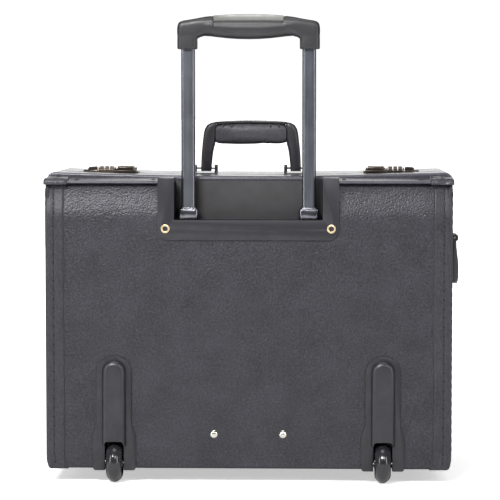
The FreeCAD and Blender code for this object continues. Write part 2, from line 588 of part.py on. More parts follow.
def make_carry(depth):
    """Handle pieces about its pivot at the origin: standing up along +Z, long along X."""
    out, top, under = CARRY_OUT, CARRY_REACH, CARRY_UNDER
    frame = drawn("Y", -depth / 2, depth / 2, (-out, -6), [
        ((-out + CARRY_POST, -6),), ((-52.5, under - 12),), ((-51, under - 3), (-44, under)), ((44, under),),
        ((51, under - 3), (53, under - 12)), ((out - CARRY_POST, -6),), ((out, -6),), ((67, top - 20),),
        ((62, top - 5), (51, top - 2)), ((51, top - 6),), ((0, top - 3.5), (-51, top - 6)), ((-51, top - 2),),
        ((-62, top - 5), (-67, top - 20))])
    half, taper = depth / 2, 28
    frame = frame.common(slab([(-4.6, -4.8, 4.2), (4.6, -4.8, 4.2), (half, taper, 9), (half, top + 9, 0),
                               (-half, top + 9, 0), (-half, taper, 9)], "X", -out - 1, out + 1))
    frame = frame.cut(rod(PIN_R + 0.05, V(-90, 0, 0), V(90, 0, 0)))
    strip = drawn("Y", -depth / 2 + 1, depth / 2 - 1, (-50.6, top - 5.97), [
        ((0, top - 3.5), (50.6, top - 5.97)), ((50.6, top - 2),), ((0, top), (-50.6, top - 2))])
    studs = []
    for x in (-39.0, -27.0, 27.0, 39.0):
        for face in (-1, 1):
            y = face * depth / 2
            studs.append(rod(1.6, V(x, y, top - 7.2), V(x, y + face * 0.9, top - 7.2)))
    return {"core": frame, "strip": strip, "studs": group(studs)}


def make_ears(base, half_y):
    """Bracket pairs of a carrying handle and their pins, about its pivot, seated at the given level."""
    brackets = []
    pins = []
    for side in (-1, 1):
        low, high = sorted((side * (EAR_INNER - EAR_T / 2), side * (EAR_OUTER + EAR_T / 2)))
        bracket = box(low, high, -half_y, half_y, base, base + 1.0)
        for x in (side * EAR_INNER, side * EAR_OUTER):
            bracket = bracket.fuse(slab([(-EAR_HALF, base, 0), (EAR_HALF, base, 0), (EAR_HALF, 4.6, 3),
                                         (-EAR_HALF, 4.6, 3)], "X", x - EAR_T / 2, x + EAR_T / 2))
        pin = rod(PIN_R, V(low, 0, 0), V(high, 0, 0))
        brackets.append(bracket.cut(pin).removeSplitter())
        pins.append(pin)
    return group(brackets), group(pins)


def make_handles():
    """Top carrying handle, standing, and the same handle hanging on the right end."""
    nodes = {}
    top = make_carry(CARRY_DEPTH)
    brackets, pins = make_ears(LEAF_MID_TOP + 0.5 - PIVOT_Z, 9.0)
    place = V(0, 0, PIVOT_Z)
    for key, shape in top.items():
        nodes["carry_handle_" + key] = shape.translated(place)
    nodes["carry_brackets"] = brackets.translated(place)
    nodes["carry_pins"] = pins.translated(place)
    side = make_carry(SIDE_DEPTH)
    side.pop("studs")
    brackets, pins = make_ears(PANEL_X - SIDE_PIVOT_X, 6.5)
    pivot = V(SIDE_PIVOT_X, 0, SIDE_PIVOT_Z)
    down, out = V(0, 0, -1), V(1, 0, 0)
    hang = FreeCAD.Placement(pivot, FreeCAD.Rotation(V(0, 1, 0), out, down, "XYZ"))
    mount = FreeCAD.Placement(pivot, FreeCAD.Rotation(V(0, 1, 0), V(0, 0, 1), out, "XYZ"))
    pieces = {"side_handle_" + key: (shape, hang) for key, shape in side.items()}
    pieces["side_brackets"] = (brackets, mount)
    pieces["side_pins"] = (pins, mount)
    for key, (shape, where) in pieces.items():
        nodes[key] = shape.transformed(where.toMatrix())
    return nodes


PAIRED = {"end_panel": "end_panels", "edge_binding": "edge_bindings", "rim_cap": "rim_caps",
          "outer_tube": "outer_tubes", "middle_tube": "middle_tubes", "inner_tube": "inner_tubes",
          "tube_collar": "tube_collars", "wheel_housing": "wheel_housings", "wheel_axle": "wheel_axles",
          "foot": "feet", "lock_plate": "lock_plates", "dial_axle": "dial_axles", "hasp_pin": "hasp_pins"}


def make_nodes():
    """Every sub-part of the case by node name, with left and right twins of one body in one node."""
    nodes = {}
    for pieces in (make_boards(), make_decks(), make_bindings(), make_interior(), make_well(),
                   make_tube_mounts(), make_wheel_side(-1), make_wheel_side(1), make_feet(),
                   make_middle_stage(), make_grip(), make_lid(), make_lock(-1), make_lock(1), make_handles()):
        nodes.update(pieces)
    for single, plural in PAIRED.items():
        nodes[plural] = group([nodes.pop(single + "_left"), nodes.pop(single + "_right")])
    return nodes


os.makedirs("parts", exist_ok=True)
for node_name, node_shape in sorted(make_nodes().items()):
    node_shape.exportStep("parts/" + node_name + ".step")
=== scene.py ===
"""Looks of a rolling laptop case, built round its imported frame.

Every length is in metres in the frame's own axes: +X along the long side, -Y towards the wheels
and the pull handle, +Z up. Each sub-assembly is a class whose sizes are dataclass fields, each
finish is a frozen dataclass, and every new surface is worked out with numpy as whole arrays.
"""
from __future__ import annotations

import json
import logging
import math
from dataclasses import dataclass, field
from enum import Enum
from types import SimpleNamespace

import bmesh
import bpy
import numpy as np
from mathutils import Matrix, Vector

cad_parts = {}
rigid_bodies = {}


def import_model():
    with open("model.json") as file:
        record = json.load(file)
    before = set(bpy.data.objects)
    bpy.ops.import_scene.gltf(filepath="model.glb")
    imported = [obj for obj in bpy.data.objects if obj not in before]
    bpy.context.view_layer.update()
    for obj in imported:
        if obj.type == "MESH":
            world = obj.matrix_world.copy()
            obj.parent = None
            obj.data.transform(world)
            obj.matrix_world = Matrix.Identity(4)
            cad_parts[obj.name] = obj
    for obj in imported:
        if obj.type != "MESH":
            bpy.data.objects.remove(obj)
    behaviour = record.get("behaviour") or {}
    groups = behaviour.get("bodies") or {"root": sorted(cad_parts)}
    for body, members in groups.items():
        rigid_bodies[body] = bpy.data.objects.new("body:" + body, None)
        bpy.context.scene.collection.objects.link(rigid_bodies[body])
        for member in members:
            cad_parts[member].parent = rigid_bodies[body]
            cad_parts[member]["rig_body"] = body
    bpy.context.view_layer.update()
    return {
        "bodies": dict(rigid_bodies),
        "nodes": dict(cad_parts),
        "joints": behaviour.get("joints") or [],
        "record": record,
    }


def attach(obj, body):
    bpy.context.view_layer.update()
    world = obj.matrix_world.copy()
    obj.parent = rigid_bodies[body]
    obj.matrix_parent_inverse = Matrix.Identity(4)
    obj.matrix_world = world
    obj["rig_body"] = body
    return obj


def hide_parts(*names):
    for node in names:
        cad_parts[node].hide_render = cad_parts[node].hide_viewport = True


LOG = logging.getLogger("laptop_case")
MM = 0.001


# ---- shared tools ----

class Side(Enum):
    """Which end of the case a paired piece is on, as the sign of its X."""
    LEFT = -1
    RIGHT = 1


def linear(hex_colour: str) -> tuple[float, float, float, float]:
    """Turns an sRGB hex colour into the linear RGBA that a shader takes.

    Args:
        hex_colour: six hex digits, such as "4a494f".
    Returns:
        The colour in linear light, with alpha 1.
    """
    srgb = np.array([int(hex_colour[i:i + 2], 16) for i in (0, 2, 4)]) / 255.0
    light = np.where(srgb <= 0.04045, srgb / 12.92, ((srgb + 0.055) / 1.055) ** 2.4)
    return (float(light[0]), float(light[1]), float(light[2]), 1.0)


def add_node(material: bpy.types.Material, kind: str, values: dict,
             links: dict | None = None) -> bpy.types.Node:
    """Adds one shader node with its settings and links.

    Args:
        material: the material whose tree gets the node.
        kind: the node's type name, such as "ShaderNodeTexNoise".
        values: attributes by name, or input values by socket name or number.
        links: sockets of other nodes, by the input's name or number.
    Returns:
        The new node.
    """
    tree = material.node_tree
    node = tree.nodes.new(kind)
    for key, value in values.items():
        if isinstance(key, str) and hasattr(node, key):
            setattr(node, key, value)
        else:
            node.inputs[key].default_value = value
    for key, socket in (links or {}).items():
        tree.links.new(socket, node.inputs[key])
    return node


def smoothstep(edge0: float, edge1: float, x: np.ndarray) -> np.ndarray:
    """Cubic ease from 0 at edge0 to 1 at edge1: 3t^2 - 2t^3 of the clamped fraction t."""
    t = np.clip((x - edge0) / (edge1 - edge0), 0.0, 1.0)
    return t * t * (3.0 - 2.0 * t)


def ripple(u: np.ndarray, v: np.ndarray, seed: int, waves: int = 9, finest: float = 0.02) -> np.ndarray:
    """Smooth wandering height over two lengths: a seeded sum of plane waves, scaled to about -1..1.

    Args:
        u: first coordinate in metres.
        v: second coordinate in metres, same shape.
        seed: fixes the waves' directions and phases.
        waves: how many waves are added.
        finest: the shortest wavelength in metres; the longest is six times it.
    Returns:
        The summed height, same shape as u.
    """
    rng = np.random.default_rng(seed)
    angles = rng.uniform(0.0, 2.0 * np.pi, waves)
    phases = rng.uniform(0.0, 2.0 * np.pi, waves)
    lengths = finest * np.exp(rng.uniform(0.0, np.log(6.0), waves))
    k = 2.0 * np.pi / lengths
    total = np.zeros_like(u)
    for angle, phase, number in zip(angles, phases, k):
        total += np.sin(number * (u * np.cos(angle) + v * np.sin(angle)) + phase)
    return total / math.sqrt(waves) / 1.4


def mesh_piece(name: str, points: np.ndarray, faces: list, material: bpy.types.Material,
               smooth: bool = True) -> bpy.types.Object:
    """Makes an object at the origin from points and faces.

    Args:
        name: the piece's name.
        points: an (n, 3) array in metres.
        faces: index lists, wound so that they point outwards.
        material: the finish.
        smooth: whether faces are shaded smooth.
    Returns:
        The linked object.
    """
    mesh = bpy.data.meshes.new(name)
    mesh.from_pydata(np.asarray(points, dtype=float).tolist(), [], [list(map(int, f)) for f in faces])
    mesh.polygons.foreach_set("use_smooth", [smooth] * len(mesh.polygons))
    mesh.materials.append(material)
    mesh.update()
    piece = bpy.data.objects.new(name, mesh)
    bpy.context.scene.collection.objects.link(piece)
    return piece


def grid_faces(rows: int, columns: int, close_rows: bool = False, close_columns: bool = False) -> np.ndarray:
    """Quads of a grid of points stored row by row, joined end to end where asked.

    Args:
        rows: points along the first direction.
        columns: points along the second direction.
        close_rows: whether the last row joins the first.
        close_columns: whether the last column joins the first.
    Returns:
        An (n, 4) index array.
    """
    i = np.arange(rows if close_rows else rows - 1)
    j = np.arange(columns if close_columns else columns - 1)
    i, j = np.meshgrid(i, j, indexing="ij")
    i2, j2 = (i + 1) % rows, (j + 1) % columns
    quads = np.stack([i * columns + j, i2 * columns + j, i2 * columns + j2, i * columns + j2], -1)
    return quads.reshape(-1, 4)


def tidy_normals(piece: bpy.types.Object, merge: float = 1e-6) -> bpy.types.Object:
    """Merges doubled points and turns every face outwards."""
    shape = bmesh.new()
    shape.from_mesh(piece.data)
    bmesh.ops.remove_doubles(shape, verts=shape.verts, dist=merge)
    bmesh.ops.recalc_face_normals(shape, faces=shape.faces)
    shape.to_mesh(piece.data)
    shape.free()
    piece.data.update()
    return piece


def finish_edges(piece: bpy.types.Object, width: float, segments: int = 2, angle: float = 34.0) -> None:
    """Rounds a piece's sharp edges and shades it smooth, for the bright lines that moulded edges show."""
    bevel = piece.modifiers.new("edges", "BEVEL")
    bevel.width = width
    bevel.segments = segments
    bevel.limit_method = "ANGLE"
    bevel.angle_limit = math.radians(angle)
    bevel.harden_normals = True
    piece.data.polygons.foreach_set("use_smooth", [True] * len(piece.data.polygons))


def rounded_ring(half_a: np.ndarray, half_b: np.ndarray, power: np.ndarray, count: int = 32) -> np.ndarray:
    """Superellipse rings: |a/A|^p + |b/B|^p = 1 at even angles, one ring per entry.

    Args:
        half_a: half sizes along the first direction.
        half_b: half sizes along the second direction.
        power: the exponent; 2 is an ellipse, 5 is nearly a rectangle.
        count: points on each ring.
    Returns:
        An (n, count, 2) array.
    """
    t = np.linspace(0.0, 2.0 * np.pi, count, endpoint=False)[None, :]
    c, s = np.cos(t), np.sin(t)
    p = 2.0 / np.asarray(power, dtype=float)[:, None]
    a = np.asarray(half_a, dtype=float)[:, None] * np.sign(c) * np.abs(c) ** p
    b = np.asarray(half_b, dtype=float)[:, None] * np.sign(s) * np.abs(s) ** p
    return np.stack([a, b], -1)


def lines(low: float, high: float, step: float, exact: tuple = ()) -> np.ndarray:
    """Grid lines from low to high, evenly spaced, with some exact values added.

    Args:
        low: first line, in mm.
        high: last line, in mm.
        step: the widest spacing, in mm.
        exact: values that get a line of their own.
    Returns:
        Sorted lines in mm, none closer than 0.05 mm to the next.
    """
    even = np.linspace(low, high, int(math.ceil((high - low) / step)) + 1)
    exact = np.asarray(exact, dtype=float)
    if exact.size:
        even = even[np.abs(even[:, None] - exact[None, :]).min(1) > 0.3 * step]
    both = np.unique(np.concatenate([even, exact, [low, high]]))
    return both[np.concatenate([[True], np.diff(both) > 0.04])]


def merged(name: str, parts: list, material: bpy.types.Material) -> bpy.types.Object:
    """One piece from several (points, faces) pairs, with faces turned outwards.

    Args:
        name: the piece's name.
        parts: pairs of an (n, 3) array and a list of faces.
        material: the finish.
    Returns:
        The piece.
    """
    starts = np.cumsum([0] + [len(points) for points, _ in parts[:-1]])
    faces = [[int(i) + int(start) for i in face] for start, (_, own) in zip(starts, parts) for face in own]
    return tidy_normals(mesh_piece(name, np.vstack([points for points, _ in parts]), faces, material))


def board(outer: np.ndarray, inner: np.ndarray, keep: np.ndarray) -> tuple[np.ndarray, list]:
    """Closed board between two grids of points; cells that keep leaves out are cut right through.

    A skirt quad joins the two grids along each cell edge whose other side isn't kept.

    Args:
        outer: (rows, columns, 3) points of the outside.
        inner: the matching points of the inside.
        keep: (rows - 1, columns - 1) flags.
    Returns:
        Points and faces, without unused points.
    """
    rows, columns = outer.shape[:2]
    count = rows * columns
    index = np.arange(count).reshape(rows, columns)
    a, b, c, d = index[:-1, :-1], index[1:, :-1], index[1:, 1:], index[:-1, 1:]
    ring = np.pad(keep, 1)
    near = {"ab": ring[1:-1, :-2], "bc": ring[2:, 1:-1], "cd": ring[1:-1, 2:], "da": ring[:-2, 1:-1]}
    quads = [np.stack([a, b, c, d], -1)[keep], np.stack([d, c, b, a], -1)[keep] + count]
    for (start, end), label in (((a, b), "ab"), ((b, c), "bc"), ((c, d), "cd"), ((d, a), "da")):
        open_side = keep & ~near[label]
        p, q = start[open_side], end[open_side]
        quads.append(np.stack([q, p, p + count, q + count], -1))
    faces = np.vstack(quads)
    used, faces = np.unique(faces, return_inverse=True)
    points = np.vstack([outer.reshape(-1, 3), inner.reshape(-1, 3)])[used]
    return points, faces.reshape(-1, 4).tolist()


def tunnel(rings: np.ndarray) -> tuple[np.ndarray, list]:
    """Skin over a stack of closed rings, an (rows, columns, 3) array, closed by a flat face at each end."""
    rows, columns = rings.shape[:2]
    faces = grid_faces(rows, columns, close_columns=True).tolist()
    ring = np.arange(columns)
    return rings.reshape(-1, 3), faces + [ring[::-1].tolist(), (ring + (rows - 1) * columns).tolist()]


def scattered(shape: np.ndarray, faces: np.ndarray, places: np.ndarray, along: np.ndarray,
              out: np.ndarray) -> tuple[np.ndarray, list]:
    """Copies of one small shape, each set at a place and turned by two directions.

    Args:
        shape: (n, 3) points: first coordinate along, second across, third outwards.
        faces: (m, k) indices of the shape.
        places: (count, 3) positions.
        along: (count, 3) unit directions of the first coordinate.
        out: (count, 3) unit directions of the third coordinate.
    Returns:
        Points and faces of all copies.
    """
    across = np.cross(out, along)
    frames = np.stack([along, across, out], 1)
    points = places[:, None, :] + np.einsum("nk,ckd->cnd", shape, frames)
    moved = faces[None] + (np.arange(len(places)) * len(shape))[:, None, None]
    return points.reshape(-1, 3), moved.reshape(-1, faces.shape[1]).tolist()


def softened_copy(name: str, node: str, width: float, material: bpy.types.Material,
                  segments: int = 2) -> bpy.types.Object:
    """Copy of a CAD node with its triangles merged and its sharp edges rounded, standing for that node.

    Args:
        name: the new piece's name.
        node: the CAD node that it stands for.
        width: how wide the rounded edges are, in metres.
        material: the finish.
        segments: steps across a rounded edge.
    Returns:
        The piece.
    """
    source = FRAME["nodes"][node]
    piece = bpy.data.objects.new(name, source.data.copy())
    piece.matrix_world = source.matrix_world.copy()
    bpy.context.scene.collection.objects.link(piece)
    piece.parent = None
    piece.data.transform(piece.matrix_world)
    piece.matrix_world.identity()
    shape = bmesh.new()
    shape.from_mesh(piece.data)
    bmesh.ops.remove_doubles(shape, verts=shape.verts, dist=2e-6)
    bmesh.ops.dissolve_limit(shape, angle_limit=math.radians(1.0), verts=shape.verts, edges=shape.edges)
    shape.to_mesh(piece.data)
    shape.free()
    piece.data.materials.clear()
    piece.data.materials.append(material)
    finish_edges(piece, width, segments)
    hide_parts(node)
    return piece


# ---- finishes ----

def new_material(name: str) -> tuple[bpy.types.Material, bpy.types.Node]:
    """Makes an empty node material and returns it with its Principled node."""
    material = bpy.data.materials.new(name)
    material.use_nodes = True
    return material, material.node_tree.nodes["Principled BSDF"]


def object_space(material: bpy.types.Material) -> bpy.types.NodeSocket:
    """The piece's own coordinates in metres, which are the frame's."""
    return add_node(material, "ShaderNodeTexCoord", {}).outputs["Object"]


def noise(material: bpy.types.Material, place: bpy.types.NodeSocket, scale: float, detail: float,
          roughness: float = 0.5) -> bpy.types.NodeSocket:
    """Noise in 0..1 whose cells are about 1 / scale of a unit of place wide."""
    values = {"Scale": scale, "Detail": detail, "Roughness": roughness}
    return add_node(material, "ShaderNodeTexNoise", values, {"Vector": place}).outputs["Fac"]


def blend(material: bpy.types.Material, share: float, first: bpy.types.NodeSocket,
          second: bpy.types.NodeSocket) -> bpy.types.NodeSocket:
    """Mix of two values; share is how much of the second it holds."""
    values = {"data_type": "FLOAT", 0: share}
    return add_node(material, "ShaderNodeMix", values, {2: first, 3: second}).outputs[0]


def two_tone(material: bpy.types.Material, factor: bpy.types.NodeSocket, low: tuple,
             high: tuple) -> bpy.types.NodeSocket:
    """Colour that runs between two stops.

    Args:
        material: the material that gets the ramp.
        factor: what drives the ramp.
        low: position and linear colour of the first stop.
        high: position and linear colour of the second stop.
    Returns:
        The colour.
    """
    ramp = add_node(material, "ShaderNodeValToRGB", {}, {"Fac": factor})
    for stop, (position, colour) in zip(ramp.color_ramp.elements, (low, high)):
        stop.position = position
        stop.color = colour
    return ramp.outputs["Color"]


def eased(material: bpy.types.Material, factor: bpy.types.NodeSocket, low: float,
          high: float) -> bpy.types.NodeSocket:
    """Value that runs from low to high as the factor goes from 0.3 to 0.7."""
    values = {"From Min": 0.3, "From Max": 0.7, "To Min": low, "To Max": high}
    return add_node(material, "ShaderNodeMapRange", values, {"Value": factor}).outputs["Result"]


def bumped(material: bpy.types.Material, height: bpy.types.NodeSocket, depth_mm: float,
           strength: float = 1.0) -> bpy.types.NodeSocket:
    """Normal of a relief depth_mm deep."""
    values = {"Strength": strength, "Distance": depth_mm * MM}
    return add_node(material, "ShaderNodeBump", values, {"Height": height}).outputs["Normal"]


def wire(material: bpy.types.Material, shader: bpy.types.Node, links: dict,
         values: dict) -> bpy.types.Material:
    """Links and sets inputs of the Principled node.

    Args:
        material: the material that holds the node.
        shader: the Principled node.
        links: sockets by input name.
        values: plain values by input name.
    Returns:
        The material.
    """
    for key, socket in links.items():
        material.node_tree.links.new(socket, shader.inputs[key])
    for key, value in values.items():
        shader.inputs[key].default_value = value
    return material


@dataclass(frozen=True)
class Vinyl:
    """PVC leathercloth, embossed with a pebbled hide grain and calendered satin.

    The eye sees a dark grey with a slight violet cast, soft broken highlights from the pebbles and
    faint broad unevenness where it is glued over board. Real pebbles are about 1 mm; they are drawn
    wider and deeper because finer ones vanish at the size the case is seen.
    """
    name: str
    low: str = "0e0e12"
    high: str = "333238"
    pebble_mm: float = 2.4
    depth_mm: float = 0.8
    roughness: float = 0.4
    shine: float = 0.42

    def build(self) -> bpy.types.Material:
        """Builds the material: two-tone base, Voronoi pebbles over slow noise for the bump."""
        material, shader = new_material(self.name)
        place = object_space(material)
        cells = {"feature": "SMOOTH_F1", "Scale": 1000.0 / self.pebble_mm, "Smoothness": 0.35,
                 "Randomness": 0.95}
        pebbles = add_node(material, "ShaderNodeTexVoronoi", cells, {"Vector": place})
        slow = noise(material, place, 26.0, 4.0, 0.6)
        fine = noise(material, place, 380.0, 0.8)
        mixed = blend(material, 0.55, pebbles.outputs["Distance"], fine)
        tone = blend(material, 0.3, mixed, slow)
        height = add_node(material, "ShaderNodeMath", {"operation": "MULTIPLY_ADD", 1: 0.7},
                          {0: slow, 2: mixed})
        return wire(material, shader, {
            "Base Color": two_tone(material, tone, (0.3, linear(self.low)), (0.7, linear(self.high))),
            "Roughness": eased(material, tone, self.roughness - 0.07, self.roughness + 0.09),
            "Normal": bumped(material, height.outputs[0], self.depth_mm)},
            {"IOR": 1.52, "Specular IOR Level": self.shine, "Specular Tint": (0.95, 0.94, 1.0, 1.0)})


@dataclass(frozen=True)
class Moulded:
    """Injection-moulded ABS or polypropylene with a spark-eroded grain.

    The eye sees an even dark grey, broad soft highlights and fine tooth in them, with slightly
    glossier, paler patches where hands and handling have rubbed it.
    """
    name: str
    colour: str = "19181d"
    rubbed: str = "27262c"
    roughness: float = 0.36
    grain_mm: float = 0.9
    depth_mm: float = 0.03

    def build(self) -> bpy.types.Material:
        """Builds the material: slow noise for tone and gloss, fine noise for the grain."""
        material, shader = new_material(self.name)
        place = object_space(material)
        slow = noise(material, place, 55.0, 5.0, 0.65)
        grain = noise(material, place, 1000.0 / self.grain_mm, 2.0)
        return wire(material, shader, {
            "Base Color": two_tone(material, slow, (0.35, linear(self.colour)), (0.75, linear(self.rubbed))),
            "Roughness": eased(material, slow, self.roughness + 0.06, self.roughness - 0.05),
            "Normal": bumped(material, grain, self.depth_mm, 0.6)}, {"IOR": 1.5})


@dataclass(frozen=True)
class Metal:
    """Bare, plated or anodised metal, drawn or turned, with fine lines along one axis.

    The eye sees long highlights broken by the lines, and a little dulling where it has been handled.
    """
    name: str
    colour: str = "8d8f96"
    roughness: float = 0.28
    stretch: tuple[float, float, float] = (900.0, 900.0, 25.0)
    line_depth_mm: float = 0.01

    def build(self) -> bpy.types.Material:
        """Builds the material: noise stretched along the lines drives tone and bump, slow noise the gloss."""
        material, shader = new_material(self.name)
        place = object_space(material)
        scaled = add_node(material, "ShaderNodeMapping", {"Scale": self.stretch}, {"Vector": place})
        grooves = noise(material, scaled.outputs[0], 1.0, 3.0)
        smudge = noise(material, place, 45.0, 4.0)
        tint = linear(self.colour)
        dull = tuple(0.72 * c for c in tint[:3]) + (1.0,)
        return wire(material, shader, {
            "Base Color": two_tone(material, grooves, (0.3, dull), (0.6, tint)),
            "Roughness": eased(material, smudge, self.roughness * 0.92, self.roughness * 1.12),
            "Normal": bumped(material, grooves, self.line_depth_mm, 0.4)}, {"Metallic": 1.0})


@dataclass(frozen=True)
class Woven:
    """Plain-woven nylon or polyester cloth: over-and-under threads with a soft sheen."""
    name: str
    colour: str = "2e2d32"
    lit: str = "46454c"
    thread_mm: float = 1.6

    def build(self) -> bpy.types.Material:
        """Builds the material: two crossed bands of waves, one per thread direction, multiplied."""
        material, shader = new_material(self.name)
        place = object_space(material)
        scale = 1000.0 / self.thread_mm / 3.1416
        waves = [add_node(material, "ShaderNodeTexWave", {"wave_type": "BANDS", "bands_direction": way,
                          "Scale": scale, "Distortion": 0.4}, {"Vector": place}) for way in ("X", "Z")]
        cross = add_node(material, "ShaderNodeMath", {"operation": "MULTIPLY"},
                         {0: waves[0].outputs["Fac"], 1: waves[1].outputs["Fac"]}).outputs[0]
        return wire(material, shader, {
            "Base Color": two_tone(material, cross, (0.0, linear(self.colour)), (1.0, linear(self.lit))),
            "Normal": bumped(material, cross, 0.12, 0.5)}, {"Roughness": 0.75, "Sheen Weight": 0.3})


class Finishes(SimpleNamespace):
    """Every finish on the case by name, each built once."""


def build_finishes() -> Finishes:
    """Builds every finish of the case."""
    looks = dict(
        vinyl=Vinyl("pebbled_pvc_leathercloth"),
        # Paler copy of the pebbled vinyl for the lid and deck tops: its lighter base colour is painted reflection of
        # the bright surround at grazing angles; it is also smoother and glossier than the sides
        lid_vinyl=Vinyl("lit_top_pvc_leathercloth", low="34333a", high="434249", roughness=0.3, depth_mm=0.06,
                        shine=0.6),
        binding=Vinyl("folded_vinyl_binding", low="17171a", high="302f34", pebble_mm=2.6, depth_mm=0.35,
                      roughness=0.46),
        rim=Vinyl("crumpled_rim_vinyl", low="28272b", high="3b3a3f", pebble_mm=2.4, depth_mm=0.3,
                  roughness=0.36),
        handle_vinyl=Vinyl("padded_handle_vinyl", low="28272b", high="38373c", pebble_mm=2.2, depth_mm=0.22,
                           roughness=0.46),
        moulded=Moulded("spark_grained_abs"),
        well=Moulded("well_polypropylene", colour="121114", rubbed="1a191d", roughness=0.55),
        grip=Moulded("soft_touch_grip_rubber", colour="1d1c1e", rubbed="29282b", roughness=0.4, depth_mm=0.05),
        button=Moulded("light_grey_abs", colour="62625f", rubbed="71716d", roughness=0.38),
        tube=Metal("gunmetal_anodised_aluminium", colour="6f7179", roughness=0.34, stretch=(380.0, 380.0, 5.0)),
        collar=Metal("satin_chromed_collar", colour="77777e", roughness=0.2, stretch=(90.0, 90.0, 90.0)),
        bright=Metal("polished_nickel_plate", colour="d8d4cc", roughness=0.12, line_depth_mm=0.002),
        warm=Metal("pale_brass_plate", colour="e2cda8", roughness=0.34, line_depth_mm=0.002),
        zinc=Metal("zinc_plated_steel", colour="a9aaab", roughness=0.3),
        tyre=Moulded("cast_urethane_tyre", colour="1c1c1f", rubbed="2a2a2d", roughness=0.16, depth_mm=0.01),
        hub=Moulded("gloss_nylon_hub", colour="141416", rubbed="1f1f22", roughness=0.2, depth_mm=0.005),
        foot=Moulded("foot_rubber", colour="202022", rubbed="2c2c2f", roughness=0.6),
        lock=Metal("dark_nickel_lock_plate", colour="4c443d", roughness=0.32, stretch=(40.0, 900.0, 900.0)),
        dial=Metal("nickel_number_dial", colour="5d554c", roughness=0.3, stretch=(900.0, 60.0, 60.0)),
        # This finish also colours the bezel screws' centres, where its near-black is painted reflection
        ear=Moulded("black_enamelled_zinc_and_screw_reflection", colour="1b1719", rubbed="262123", roughness=0.3, depth_mm=0.01),
        hole=Moulded("needle_hole_shadow", colour="070708", rubbed="0c0c0e", roughness=0.9, depth_mm=0.05),
        thread=Moulded("bonded_nylon_thread", colour="1d1c20", rubbed="2e2d32", roughness=0.55, depth_mm=0.05),
        lining=Woven("polyester_lining"),
        webbing=Woven("nylon_webbing", colour="242327", lit="3b3a40", thread_mm=1.9),
        # Near-black finish of the painted shadow strips along the bands' inner edges
        groove=Moulded("shadowed_hinge_vinyl", colour="232226", rubbed="2f2e33", roughness=0.6),
        board=Vinyl("covered_fibre_board", low="2b2a2e", high="38373c", roughness=0.6))
    return Finishes(**{name: look.build() for name, look in looks.items()})


# ---- stage, light and camera ----

